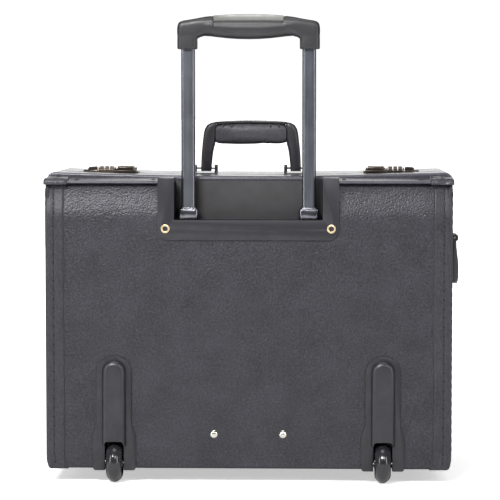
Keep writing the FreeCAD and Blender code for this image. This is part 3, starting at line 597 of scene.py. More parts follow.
@dataclass
class Studio:
    """Pale floor, soft boxes and the camera."""
    eye: tuple[float, float, float] = (0.0877, -3.0, 0.5183)
    pitch: float = 0.0693
    yaw: float = -0.0297
    lens: float = 153.25
    floor_half: float = 60.0
    surround_seen: float = 1.05
    surround_light: float = 0.12
    glow_near: float = 0.5
    glow_far: float = 1.4
    glow_start: float = 0.35
    glow_end: float = 2.2

    def build(self) -> None:
        """Builds the floor, world light, soft boxes and camera."""
        self.build_floor()
        self.build_world()
        self.soft_box("key_left", (-0.75, -2.2, 1.85), (1.0, 0.5), 80.0)
        self.soft_box("key_right", (1.3, -2.1, 1.6), (0.7, 0.5), 16.0)
        self.soft_box("strip_left", (-2.3, -1.6, 0.9), (0.35, 1.7), 22.0)
        self.soft_box("strip_right", (2.3, -1.5, 0.8), (0.5, 1.7), 20.0)
        self.soft_box("overhead", (0.0, -0.3, 2.6), (2.0, 1.4), 24.0)
        self.soft_box("back_wall", (0.0, 4.5, 1.0), (8.0, 2.4), 110.0)
        self.build_camera()

    def build_floor(self) -> None:
        """Adds one large white floor. Only the camera sees its glow, which grows away from the case."""
        h = self.floor_half
        material, shader = new_material("white_paper_sweep")
        place = object_space(material)
        reach = add_node(material, "ShaderNodeVectorMath", {"operation": "LENGTH"}, {0: place})
        fade = {"From Min": self.glow_start, "From Max": self.glow_end, "To Min": self.glow_near,
                "To Max": self.glow_far}
        glow = add_node(material, "ShaderNodeMapRange", fade, {"Value": reach.outputs["Value"]})
        path = add_node(material, "ShaderNodeLightPath", {})
        seen = add_node(material, "ShaderNodeMath", {"operation": "MULTIPLY"},
                        {0: glow.outputs["Result"], 1: path.outputs["Is Camera Ray"]})
        wire(material, shader, {
            "Normal": bumped(material, noise(material, place, 60.0, 3.0), 0.2, 0.05),
            "Emission Strength": seen.outputs["Value"]},
            {"Base Color": linear("fbfbfb"), "Roughness": 0.9, "Emission Color": (1.0, 1.0, 1.0, 1.0)})
        points = np.array([[-h, -h, 0.0], [h, -h, 0.0], [h, h, 0.0], [-h, h, 0.0]])
        mesh_piece("floor", points, [[0, 1, 2, 3]], material, smooth=False)

    def build_world(self) -> None:
        """Sets an even white surround, bright to the camera and dim as a light."""
        world = bpy.data.worlds.new("white_studio")
        world.use_nodes = True
        surround = world.node_tree.nodes["Background"]
        surround.inputs["Color"].default_value = (1.0, 1.0, 1.0, 1.0)
        path = add_node(world, "ShaderNodeLightPath", {})
        levels = {"To Min": self.surround_light, "To Max": self.surround_seen}
        strength = add_node(world, "ShaderNodeMapRange", levels, {"Value": path.outputs["Is Camera Ray"]})
        world.node_tree.links.new(strength.outputs["Result"], surround.inputs["Strength"])
        bpy.context.scene.world = world
        bpy.context.scene.view_settings.view_transform = "Standard"

    def soft_box(self, name: str, place: tuple, size: tuple, power: float) -> None:
        """Adds a rectangular area light that faces the case.

        Args:
            name: the light's name.
            place: where its centre is.
            size: its width and height.
            power: its watts.
        """
        light = bpy.data.lights.new(name, "AREA")
        light.shape = "RECTANGLE"
        light.size, light.size_y = size
        light.energy = power
        lamp = bpy.data.objects.new(name, light)
        lamp.location = place
        aim = Vector((0.0, 0.0, 0.3)) - Vector(place)
        lamp.rotation_euler = aim.to_track_quat("-Z", "Y").to_euler()
        lamp.visible_camera = False
        bpy.context.scene.collection.objects.link(lamp)

    def build_camera(self) -> None:
        """Adds the camera, level across, looking down by the pitch and round by the yaw."""
        lens = bpy.data.cameras.new("camera")
        lens.lens = self.lens
        lens.sensor_width = 36.0
        lens.clip_end = 100.0
        camera = bpy.data.objects.new("camera", lens)
        camera.location = self.eye
        camera.rotation_euler = (math.pi / 2.0 - self.pitch, 0.0, -self.yaw)
        bpy.context.scene.collection.objects.link(camera)
        bpy.context.scene.camera = camera


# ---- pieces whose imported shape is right: finish only, or the same shape with rounded edges ----

@dataclass
class Hardware:
    """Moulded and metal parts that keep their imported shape."""
    finishes: Finishes
    plain: dict[str, str] = field(default_factory=lambda: {
        "deck_rivets": "ear", "bracket_rivets": "bright", "outer_tubes": "tube",
        "middle_tubes": "tube", "inner_tubes": "tube", "tube_bracket": "zinc", "release_bar": "zinc",
        "wheel_axles": "bright", "wheel_bearings_left": "zinc", "wheel_bearings_right": "zinc",
        "foot_screws": "zinc", "carry_pins": "bright", "side_pins": "bright", "carry_handle_studs": "bright",
        "dial_axles": "zinc", "hasp_pins": "zinc", "false_back": "board", "interior_lining": "lining"})
    rounded: dict[str, tuple[str, float]] = field(default_factory=lambda: {
        "well_bezel": ("moulded", 0.9), "handle_well": ("well", 0.5), "wheel_housings": ("moulded", 0.7),
        "tube_collars": ("collar", 1.3), "feet": ("foot", 1.2), "lock_plates": ("lock", 0.25),
        "lock_strikes": ("lock", 0.4), "lock_hasp_left": ("lock", 0.5), "lock_hasp_right": ("lock", 0.5),
        "lock_slide_left": ("ear", 0.4), "lock_slide_right": ("ear", 0.4), "carry_brackets": ("ear", 0.4),
        "side_brackets": ("ear", 0.4), "wheel_hub_left": ("hub", 0.6), "wheel_hub_right": ("hub", 0.6),
        "release_button": ("button", 0.8), "bezel_screws": ("warm", 0.5),
        "carry_handle_strip": ("ear", 0.6), "side_handle_strip": ("ear", 0.6)})

    def build(self) -> None:
        """Dresses the plain nodes and makes the rounded copies, each riding on its node's body."""
        for node, finish in self.plain.items():
            self.dress(node, getattr(self.finishes, finish))
        for side in ("left", "right"):
            for number in (1, 2, 3):
                self.dress(f"dial_{side}_{number}", self.finishes.dial)
            self.dress(f"tyre_{side}", self.finishes.tyre)
        for node, (finish, width) in self.rounded.items():
            piece = softened_copy(node + "_moulding", node, width * MM, getattr(self.finishes, finish))
            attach(piece, FRAME["nodes"][node]["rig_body"])
            LOG.info("rounded copy of %s", node)

    def dress(self, node: str, material: bpy.types.Material) -> None:
        """Gives a CAD node its finish and leaves its mesh alone."""
        target = FRAME["nodes"][node]
        target.data.materials.clear()
        target.data.materials.append(material)
        LOG.info("dressed %s", node)


# ---- the covered box ----

def corner_in(z: np.ndarray) -> np.ndarray:
    """How far the ends step in low down, in mm: a quarter ellipse 20 mm high and 5 mm wide at z 19."""
    t = np.clip((39.0 - z) / 20.0, 0.0, 1.0)
    return 5.0 * (1.0 - np.sqrt(1.0 - t * t))


@dataclass
class CaseShell:
    """Leathercloth panels of the box, its decks, edge bindings with their stitches, and the rim caps.

    Sizes are in mm: half_x and half_y reach the boards' outside, floor and rim are their ends.
    """
    finishes: Finishes
    half_x: float = 275.0
    half_y: float = 126.0
    floor: float = 20.0
    rim: float = 408.0
    board_t: float = 4.0
    step: float = 5.0
    roll_in: float = 8.0
    well_half: float = 103.3
    well_floor: float = 356.5
    pocket_x: tuple[float, float] = (167.5, 198.5)
    pocket_top: float = 60.2
    pocket_y: float = -87.5
    rivets_x: tuple[float, ...] = (-234.0, -129.5, 129.5, 234.0)
    deck_y: float = -82.5
    notch_y: float = -86.5
    front_y: float = 119.5
    binding_w: float = 24.5
    binding_end: float = 13.0
    stitch_in: float = 11.0
    stitch_pitch: float = 12.4
    cap_x: float = 246.0

    def build(self) -> None:
        """Builds every piece of the box in order."""
        self.rear_panel()
        self.front_panel()
        self.end_panels()
        self.bottom_panel()
        self.decks()
        self.bindings()
        self.stitches()
        self.rim_caps()

    def place(self, piece: bpy.types.Object, node: str, slot: str) -> bpy.types.Object:
        """Makes a piece stand for a CAD node and ride on the case."""
        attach(piece, "case")
        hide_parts(node)
        LOG.info("built %s for %s", piece.name, node)
        return piece

    def rear_roll(self, z: np.ndarray) -> np.ndarray:
        """How far the rear rolls in under the deck, in mm: roll_in times an ease over z 360 to 406."""
        return self.roll_in * smoothstep(360.0, 406.0, z)

    def rear_panel(self) -> None:
        """Rear cover: flat below, rolling in under the deck, cut for the well and the wheels.

        y = -half_y + rear_roll(z) away from the bezel, plus a glue ripple of 0.3 mm.
        """
        edges_x = [s * x for x in (*self.pocket_x, self.well_half) for s in (-1, 1)]
        x = lines(-self.half_x, self.half_x, self.step, tuple(edges_x))
        z = lines(self.floor, self.rim, self.step, (self.pocket_top, self.well_floor))
        gx, gz = np.meshgrid(x, z, indexing="ij")
        free = smoothstep(112.0, 128.0, np.abs(gx))
        y = -self.half_y + self.rear_roll(gz) * free
        y += 0.3 * ripple(gx * MM, gz * MM, 11, finest=0.03) * smoothstep(0.0, 12.0, self.rim - gz)
        across = np.clip(gx, -self.half_x + corner_in(gz), self.half_x - corner_in(gz))
        outer = np.stack([across, y, gz], -1)
        inner = np.stack([across, np.full_like(y, -self.half_y + self.roll_in + 2.0), gz], -1)
        mid_x, mid_z = (x[1:] + x[:-1]) / 2, (z[1:] + z[:-1]) / 2
        mx, mz = np.meshgrid(np.abs(mid_x), mid_z, indexing="ij")
        well = (mx < self.well_half) & (mz > self.well_floor)
        pocket = (mx > self.pocket_x[0]) & (mx < self.pocket_x[1]) & (mz < self.pocket_top)
        points, faces = board(outer, inner, ~(well | pocket))
        piece = merged("rear_cover", [(points * MM, faces)], self.finishes.vinyl)
        self.place(piece, "back_panel", "case_vinyl")

    def front_panel(self) -> None:
        """Front cover, with the same roll under its rim."""
        x = lines(-self.half_x, self.half_x, self.step)
        z = lines(self.floor, self.rim, self.step)
        gx, gz = np.meshgrid(x, z, indexing="ij")
        y = self.half_y - 0.7 * self.roll_in * smoothstep(370.0, 405.0, gz)
        y += 0.35 * ripple(gx * MM, gz * MM, 12, finest=0.03)
        across = np.clip(gx, -self.half_x + corner_in(gz), self.half_x - corner_in(gz))
        outer = np.stack([across, y, gz], -1)
        inner = np.stack([across, np.full_like(y, self.half_y - self.board_t), gz], -1)
        points, faces = board(outer, inner, np.ones((len(x) - 1, len(z) - 1), dtype=bool))
        piece = merged("front_cover", [(points * MM, faces)], self.finishes.vinyl)
        self.place(piece, "front_panel", "case_vinyl")

    def end_panels(self) -> None:
        """Both end covers: nearly flat, stepping in along the foot."""
        inner_y = self.half_y - self.board_t
        y = lines(-inner_y, inner_y, self.step)
        z = lines(self.floor + self.board_t, self.rim, self.step, (26.0, 28.0, 30.0, 34.0))
        gy, gz = np.meshgrid(y, z, indexing="ij")
        parts = []
        for side in Side:
            x = self.half_x - corner_in(gz) + 0.3 * ripple(gy * MM, gz * MM, 20 + side.value, finest=0.03)
            outer = np.stack([side.value * x, gy, gz], -1)
            inner = np.stack([side.value * (self.half_x - self.board_t - corner_in(gz)), gy, gz], -1)
            points, faces = board(outer, inner, np.ones((len(y) - 1, len(z) - 1), dtype=bool))
            parts.append((points * MM, faces))
        piece = merged("end_covers", parts, self.finishes.vinyl)
        self.place(piece, "end_panels", "case_vinyl")

    def bottom_panel(self) -> None:
        """Bottom board, cut for the wheel pockets."""
        inner_y = self.half_y - self.board_t
        reach = self.half_x - float(corner_in(np.array(self.floor)))
        edges_x = [s * x for x in self.pocket_x for s in (-1, 1)]
        x = lines(-reach, reach, 2.0 * self.step, tuple(edges_x))
        y = lines(-inner_y, inner_y, 2.0 * self.step, (self.pocket_y,))
        gx, gy = np.meshgrid(x, y, indexing="ij")
        sag = 0.35 * ripple(gx * MM, gy * MM, 14, finest=0.05)
        outer = np.stack([gx, gy, self.floor + sag], -1)
        inner = np.stack([gx, gy, np.full_like(gx, self.floor + self.board_t)], -1)
        mx, my = np.meshgrid(np.abs(x[1:] + x[:-1]) / 2, (y[1:] + y[:-1]) / 2, indexing="ij")
        pocket = (mx > self.pocket_x[0]) & (mx < self.pocket_x[1]) & (my < self.pocket_y)
        points, faces = board(outer, inner, ~pocket)
        piece = merged("bottom_cover", [(points * MM, faces)], self.finishes.vinyl)
        self.place(piece, "bottom_panel", "case_vinyl")

    def decks(self) -> None:
        """Rear and front decks: vinyl folded over a rim, run along X with a slow ripple in the fold.

        The rear fold overhangs the cover, so a dark gap shows below it. Inside the well its Y is
        held at notch_y, which cuts the notch.
        """
        x = lines(-self.half_x, self.half_x, 4.0)
        for edge in (-self.well_half, self.well_half):
            x = np.sort(np.append(x[np.abs(x - edge) > 1.5], [edge - 0.02, edge + 0.02]))
        rear = np.array([[self.deck_y, 408.2], [-119.0, 408.2], [-124.6, 408.4], [-126.6, 409.2], [-127.0, 410.2],
                         [-126.4, 411.4], [-124.6, 412.2], [-121.0, 412.5], [-118.5, 412.0], [-116.0, 412.3],
                         [-108.0, 413.0], [-96.0, 414.2], [-86.0, 415.3], [-83.6, 415.3], [self.deck_y, 414.2]])
        front = np.array([[self.front_y, 408.2], [124.0, 408.2], [126.4, 409.4], [126.8, 411.0], [126.0, 412.8],
                          [124.2, 413.9], [122.0, 414.7], [120.4, 415.2], [self.front_y, 414.4]])
        for name, node, profile, seed, notch in (("rear_deck_cover", "rear_deck", rear, 31, True),
                                                  ("front_deck_cover", "front_deck", front, 32, False)):
            gx = np.repeat(x[:, None], len(profile), 1)
            y = np.repeat(profile[None, :, 0], len(x), 0)
            z = np.repeat(profile[None, :, 1], len(x), 0)
            top = smoothstep(409.5, 412.0, z)
            dimple = np.exp(-((gx[..., None] - np.array(self.rivets_x)) ** 2 + (y[..., None] + 112.0) ** 2)
                            / 60.0).sum(-1)
            z = z + top * (0.22 * ripple(gx * MM, y * MM, seed, finest=0.02) - 0.7 * dimple * notch)
            if notch:
                y = np.where((np.abs(gx) < self.well_half) & (y < self.notch_y), self.notch_y, y)
            points, faces = tunnel(np.stack([gx, y, z], -1))
            # The deck tops take the paler vinyl, whose base colour holds painted reflection
            self.place(merged(name, [(points * MM, faces)], self.finishes.lid_vinyl), node, "case_vinyl")

    def binding_profile(self) -> np.ndarray:
        """Closed section of a folded band round an outer corner: (inwards from the end, outwards from the face).

        The first value is the distance in from the box's end, the second the height over the board's face,
        both in mm; past the corner the band turns and runs back along the end by binding_end.
        """
        w, turn = self.binding_w, self.binding_end
        return np.array([[w + 0.2, -0.2], [w + 0.3, 0.9], [w - 0.4, 1.5], [w - 2.0, 1.7], [w - 5.0, 1.45],
                         [self.stitch_in + 3.0, 1.35], [self.stitch_in + 1.0, 1.0], [self.stitch_in, 0.75],
                         [self.stitch_in - 1.0, 1.0], [self.stitch_in - 3.0, 1.3], [4.0, 1.25], [2.4, 1.1],
                         [1.1, 0.6], [0.3, -0.4], [-0.25, -1.8], [-0.4, -4.0], [-0.35, -0.55 * turn],
                         [-0.1, -0.62 * turn], [-0.35, -0.7 * turn], [-0.45, -turn + 1.2], [-0.1, -turn + 0.2],
                         [1.0, -turn], [1.15, -1.2], [1.6, -0.2]])

    def bindings(self) -> None:
        """Four upright bands round the box's vertical corners and two along the foot of the ends."""
        profile = self.binding_profile()
        parts = []
        z = lines(self.floor - 1.0, self.rim + 0.5, 5.0, (21.0, 23.0, 25.0, 29.0, 33.0))
        for side in Side:
            for face in (-1, 1):
                gz = np.repeat(z[:, None], len(profile), 1)
                inward = np.repeat(profile[None, :, 0], len(z), 0)
                rise = np.repeat(profile[None, :, 1], len(z), 0)
                wave = ripple(gz * MM, inward * 4 * MM, 40 + 3 * side.value + face, finest=0.02)
                rise = rise + 0.22 * wave * (rise > 0.8)
                inward = inward + 0.5 * ripple(gz * MM, 0 * gz, 47 + side.value, finest=0.05) * (inward > 20)
                x = side.value * (self.half_x + 1.0 - corner_in(gz) - inward)
                y = face * (self.half_y + rise)
                if face < 0:
                    y += self.rear_roll(gz) * smoothstep(-self.binding_end, -2.0, rise)
                points, faces = tunnel(np.stack([x, y, gz], -1))
                parts.append((points * MM, faces))
        y = lines(-self.half_y, self.half_y, 6.0)
        foot = np.array([[24.7, 20.3], [24.6, 19.2], [22.0, 18.7], [12.0, 18.8], [8.0, 18.9]])
        t = np.linspace(0.0, np.pi / 2, 7)
        bend = np.stack([5.4 - 5.4 * np.sin(t), 38.0 - 18.9 * np.cos(t)], -1)
        rest = np.array([[-0.35, 33.2], [0.3, 33.4], [1.1, 33.0], [6.0, 20.2]])
        rest[:, 0] += corner_in(rest[:, 1]) * np.array([1.0, 1.0, 1.0, 0.0])
        bend = bend[bend[:, 1] < 32.8]
        ring = np.vstack([foot, bend, rest])
        for side in Side:
            gy = np.repeat(y[:, None], len(ring), 1)
            x = side.value * (self.half_x + 1.0 - np.repeat(ring[None, :, 0], len(y), 0))
            gz = np.repeat(ring[None, :, 1], len(y), 0)
            points, faces = tunnel(np.stack([x, gy, gz], -1))
            parts.append((points * MM, faces))
        piece = merged("folded_bindings", parts, self.finishes.binding)
        self.place(piece, "edge_bindings", "binding_vinyl")
        self.edge_shadow_lines(z)

    def edge_shadow_lines(self, z: np.ndarray) -> None:
        """Thin near-black strips of painted shadow where the inner edge of each upright band meets the cover.

        Args:
            z: the levels of the bands' rings, in mm.
        """
        section = np.array([[-0.2, -0.8], [1.3, -0.8], [1.3, 0.35], [0.9, 0.5], [-0.2, 0.55]])
        parts = []
        for side in Side:
            for face in (-1, 1):
                gz = np.repeat(z[:, None], len(section), 1)
                x = side.value * (self.half_x + 1.0 - corner_in(gz) - self.binding_w - section[None, :, 0])
                roll = self.rear_roll(gz) if face < 0 else 0.0 * gz
                y = face * (self.half_y + section[None, :, 1]) + roll
                points, faces = tunnel(np.stack([x, y, gz], -1))
                parts.append((points * MM, faces))
        # Flat near-black strips: painted shadow of the band's edge on the cover
        piece = merged("binding_edge_shadow_lines", parts, self.finishes.groove)
        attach(piece, "case")

    def stitches(self) -> None:
        """Lockstitches along every band: a thread bowed from hole to hole, and a near-black disc at each end,
        painted shade of the needle hole.

        The holes are drawn about 2.8 mm long and 1.8 mm wide, larger than real ones, so that they show.
        """
        z = np.arange(self.floor + 8.0, self.rim - 4.0, self.stitch_pitch)
        holes, normals = [], []
        for side in Side:
            for face in (-1, 1):
                x = side.value * (self.half_x + 1.0 - self.stitch_in - corner_in(z))
                roll = self.rear_roll(z) if face < 0 else 0.0 * z
                holes.append(np.stack([x, face * (self.half_y + 0.82) + roll, z], -1))
                normals.append(np.tile([0.0, face, 0.0], (len(z), 1)))
                y = np.full_like(z, face * (self.half_y - 0.62 * self.binding_end))
                end_x = side.value * (self.half_x + 1.15 - corner_in(z))
                holes.append(np.stack([end_x, y, z], -1))
                normals.append(np.tile([side.value, 0.0, 0.0], (len(z), 1)))
        holes, normals = np.vstack(holes), np.vstack(normals).astype(float)
        up = np.tile([0.0, 0.0, 1.0], (len(holes), 1))
        t = np.linspace(0.0, 2.0 * np.pi, 8, endpoint=False)
        disc = np.vstack([np.stack([1.6 * np.cos(t), 1.05 * np.sin(t), np.full(8, -0.3)], -1),
                          np.stack([1.4 * np.cos(t), 0.9 * np.sin(t), np.full(8, 0.42)], -1)])
        rim_faces = grid_faces(2, 8, close_columns=True)
        lid = np.array([[8, 9, 10, 11], [8, 11, 12, 13], [8, 13, 14, 15]])
        points, faces = scattered(disc, np.vstack([rim_faces, lid]), holes, up, normals)
        # The discs carry painted shade of the needle holes
        piece = merged("stitch_holes", [(points * MM, faces)], self.finishes.hole)
        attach(piece, "case")
        half = self.stitch_pitch / 2 - 1.0
        along = np.linspace(-half, half, 6)
        a = np.linspace(0.0, 2.0 * np.pi, 6, endpoint=False)
        size = 0.42 * np.sqrt(np.clip(1.0 - (along / (half + 0.3)) ** 6, 0.05, 1.0))
        rise = 0.15 + 0.35 * (1.0 - (along / half) ** 2)
        thread = np.stack([np.repeat(along[:, None], 6, 1), size[:, None] * np.cos(a)[None],
                           rise[:, None] + size[:, None] * np.sin(a)[None]], -1).reshape(-1, 3)
        middle = holes + up * self.stitch_pitch / 2
        keep = middle[:, 2] < self.rim - 4.0
        points, faces = scattered(thread, grid_faces(6, 6, close_columns=True), middle[keep], up[keep],
                                  normals[keep])
        piece = merged("binding_threads", [(points * MM, faces)], self.finishes.thread)
        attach(piece, "case")
        LOG.info("sewed %d stitches", int(keep.sum()))

    def rim_caps(self) -> None:
        """Crumpled vinyl caps folded over the two top rear corners.

        Each is a closed sleeve about 2 mm thick, run along X; its height wanders by up to 0.9 mm in
        creases 6 to 36 mm long, and it closes down to a rounded end outside the box.
        """
        out = np.array([[-126.4, 407.4], [-127.8, 407.0], [-128.9, 407.6], [-129.2, 408.8], [-129.2, 410.0],
                        [-128.9, 411.6], [-127.4, 413.4], [-124.0, 414.8], [-118.0, 415.4], [-110.0, 416.2],
                        [-103.0, 417.0], [-99.0, 417.2], [-97.4, 416.2], [-97.8, 414.4]])
        back = np.array([[-103.0, 413.6], [-110.0, 412.6], [-118.0, 411.6], [-124.0, 411.0], [-126.0, 410.0],
                         [-126.2, 408.8]])
        ring = np.vstack([out, back])
        x = lines(self.cap_x, self.half_x + 1.0, 2.2)
        tail = self.half_x + 1.0 + np.array([0.9, 1.6, 2.0, 2.2])
        pull = np.concatenate([np.zeros(len(x)), [0.05, 0.15, 0.32, 0.6]])
        pull[0] = 0.06
        x = np.concatenate([x, tail])
        centre = np.array([-118.0, 408.0])
        gx = np.repeat(x[:, None], len(ring), 1)
        y = ring[None, :, 0] + (centre[0] - ring[None, :, 0]) * pull[:, None]
        z = ring[None, :, 1] + (centre[1] - ring[None, :, 1]) * pull[:, None]
        shown = np.concatenate([np.ones(len(out)), np.zeros(len(back))])[None, :]
        parts = []
        for side in Side:
            crease = ripple(gx * MM, (y - z) * MM, 60 + side.value, waves=14, finest=0.006)
            crease = 1.15 * crease * shown
            turn = np.clip((z - 409.0) / 5.0, 0.0, 1.0)
            creased = np.stack([side.value * gx, y - crease * (1 - turn), z + crease * turn], -1)
            points, faces = tunnel(creased)
            parts.append((points * MM, faces))
        piece = merged("crumpled_rim_caps", parts, self.finishes.rim)
        self.place(piece, "rim_caps", "binding_vinyl")


# ---- the two lid leaves ----

@dataclass
class Lid:
    """Vinyl-wrapped leaves with softly rounded edges and rounded ends that overhang the box. Sizes in mm."""
    finishes: Finishes
    half_x: float = 279.0
    lip: float = 11.0
    under: float = 408.4
    mid_top: float = 417.4
    end_top: float = 422.4
    edge_r: float = 2.6
    seam_y: float = -18.0
    seat_z: float = 418.9
    seat_x: tuple[float, float] = (157.5, 236.0)
    strike_x: tuple[float, float] = (160.0, 192.0)
    dials_x: tuple[float, float] = (190.0, 215.5)
    dial_y: float = -4.0
    dial_half: float = 8.0

    def build(self) -> None:
        """Builds both leaves."""
        self.leaf("lid_rear_cover", "lid_rear_leaf", (-82.0, self.seam_y - 0.9), "lid_rear", 71)
        self.leaf("lid_front_cover", "lid_front_leaf", (self.seam_y + 0.5, 119.0), "lid_front", 72)

    def top(self, gx: np.ndarray) -> np.ndarray:
        """Height of the leaf's top along X: a shallow sag, then a quarter round of radius lip at each end."""
        flat = self.half_x - self.lip
        sag = self.mid_top + (self.end_top - self.mid_top) * (np.minimum(np.abs(gx), flat) / flat) ** 2
        over = np.clip((np.abs(gx) - flat) / self.lip, 0.0, 1.0)
        return sag - self.lip * (1.0 - np.sqrt(np.clip(1.0 - over ** 2, 0.0, 1.0)))

    def leaf(self, name: str, node: str, span: tuple[float, float], body: str, seed: int) -> None:
        """Builds one leaf: sag, rounded edges, a slow glue ripple of 0.25 mm, and the lock seats cut in.

        Args:
            name: the piece's name.
            node: the CAD node that it stands for.
            span: its ends along Y.
            body: the body that it rides on.
            seed: fixes the ripple.
        """
        rear = body == "lid_rear"
        marks = self.strike_x if rear else self.seat_x + self.dials_x
        exact = [s * (m + d) for m in marks for s in (-1, 1) for d in (0.0, 0.06)]
        round_x = self.half_x - self.lip + self.lip * np.sin(np.linspace(0.0, np.pi / 2, 8))[1:]
        x = lines(-self.half_x, self.half_x, 6.0, tuple(exact) + tuple(round_x) + tuple(-round_x))
        ease = self.edge_r * (1.0 - np.cos(np.linspace(0.0, np.pi / 2, 5)))
        seat_edge = self.seam_y - 10.5 if rear else 10.5
        y_marks = [seat_edge, seat_edge + (0.06 if not rear else -0.06)]
        if not rear:
            y_marks += [self.dial_y - self.dial_half, self.dial_y + self.dial_half]
        y = lines(span[0], span[1], 6.0, tuple(span[0] + ease) + tuple(span[1] - ease) + tuple(y_marks))
        gx, gy = np.meshgrid(x, y, indexing="ij")
        near = np.minimum(gy - span[0], span[1] - gy)
        t = np.clip(1.0 - near / self.edge_r, 0.0, 1.0)
        z = self.top(gx) - self.edge_r * (1.0 - np.sqrt(1.0 - t * t))
        calm = smoothstep(0.0, 10.0, self.half_x - self.lip - np.abs(gx))
        z += 0.25 * ripple(gx * MM, gy * MM, seed, finest=0.03) * calm
        z = np.maximum(z, self.under + 1.0)
        ax = np.abs(gx)
        low, high = self.strike_x if rear else self.seat_x
        edge = (gy > seat_edge - 0.01) if rear else (gy < seat_edge + 0.01)
        seat = (ax > low - 0.01) & (ax < high + 0.01) & edge
        z = np.where(seat, self.seat_z - 0.05, z)
        mx, my = np.meshgrid(np.abs(x[1:] + x[:-1]) / 2, (y[1:] + y[:-1]) / 2, indexing="ij")
        keep = np.ones(mx.shape, dtype=bool)
        if not rear:
            beside = np.abs(my - self.dial_y) < self.dial_half
            keep = ~((mx > self.dials_x[0]) & (mx < self.dials_x[1]) & beside)
        outer = np.stack([gx, gy, z], -1)
        inner = np.stack([gx, gy, np.full_like(z, self.under)], -1)
        points, faces = board(outer, inner, keep)
        # The leaves take the paler vinyl, whose base colour holds painted reflection
        piece = merged(name, [(points * MM, faces)], self.finishes.lid_vinyl)
        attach(piece, body)
        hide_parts(node)
        LOG.info("built %s", name)


# ---- padding ----

def inflate(piece: bpy.types.Object, voxel: float, cap: float, pressure: float = 4.0,
            frames: int = 20) -> bpy.types.Object:
    """Remeshes a closed shape and blows it up as cloth, holding each point within a cap of where it began.

    Args:
        piece: the closed piece, a little smaller than the finished pad.
        voxel: remesh size in metres.
        cap: the furthest that a point may move, in metres.
        pressure: the air pressure inside the cloth.
        frames: how long the cloth runs.
    Returns:
        The piece with the result in its mesh.
    """
    remesh = piece.modifiers.new("voxels", "REMESH")
    remesh.mode = "VOXEL"
    remesh.voxel_size = voxel
    apply_modifiers(piece)
    count = len(piece.data.vertices)
    start = np.empty(count * 3)
    piece.data.vertices.foreach_get("co", start)
    cloth = piece.modifiers.new("padding", "CLOTH")
    cloth.settings.use_pressure = True
    cloth.settings.uniform_pressure_force = pressure
    cloth.settings.effector_weights.gravity = 0.0
    for frame in range(1, frames + 1):
        bpy.context.scene.frame_set(frame)
    apply_modifiers(piece)
    bpy.context.scene.frame_set(1)
    moved = np.empty(count * 3)
    piece.data.vertices.foreach_get("co", moved)
    shift = (moved - start).reshape(-1, 3)
    length = np.linalg.norm(shift, axis=1, keepdims=True)
    shift *= np.minimum(1.0, cap / np.maximum(length, 1e-9))
    piece.data.vertices.foreach_set("co", (start.reshape(-1, 3) + shift).ravel())
    piece.data.polygons.foreach_set("use_smooth", [True] * len(piece.data.polygons))
    round_off = piece.modifiers.new("rounding", "SUBSURF")
    round_off.levels = round_off.render_levels = 1
    piece.data.update()
    LOG.info("padded %s", piece.name)
    return piece


def apply_modifiers(piece: bpy.types.Object) -> None:
    """Puts the evaluated shape into the piece's own mesh and removes its modifiers."""
    scene_state = bpy.context.evaluated_depsgraph_get()
    mesh = bpy.data.meshes.new_from_object(piece.evaluated_get(scene_state))
    materials = [slot.material for slot in piece.material_slots]
    piece.modifiers.clear()
    piece.data = mesh
    piece.data.materials.clear()
    for material in materials:
        piece.data.materials.append(material)


# ---- handles ----

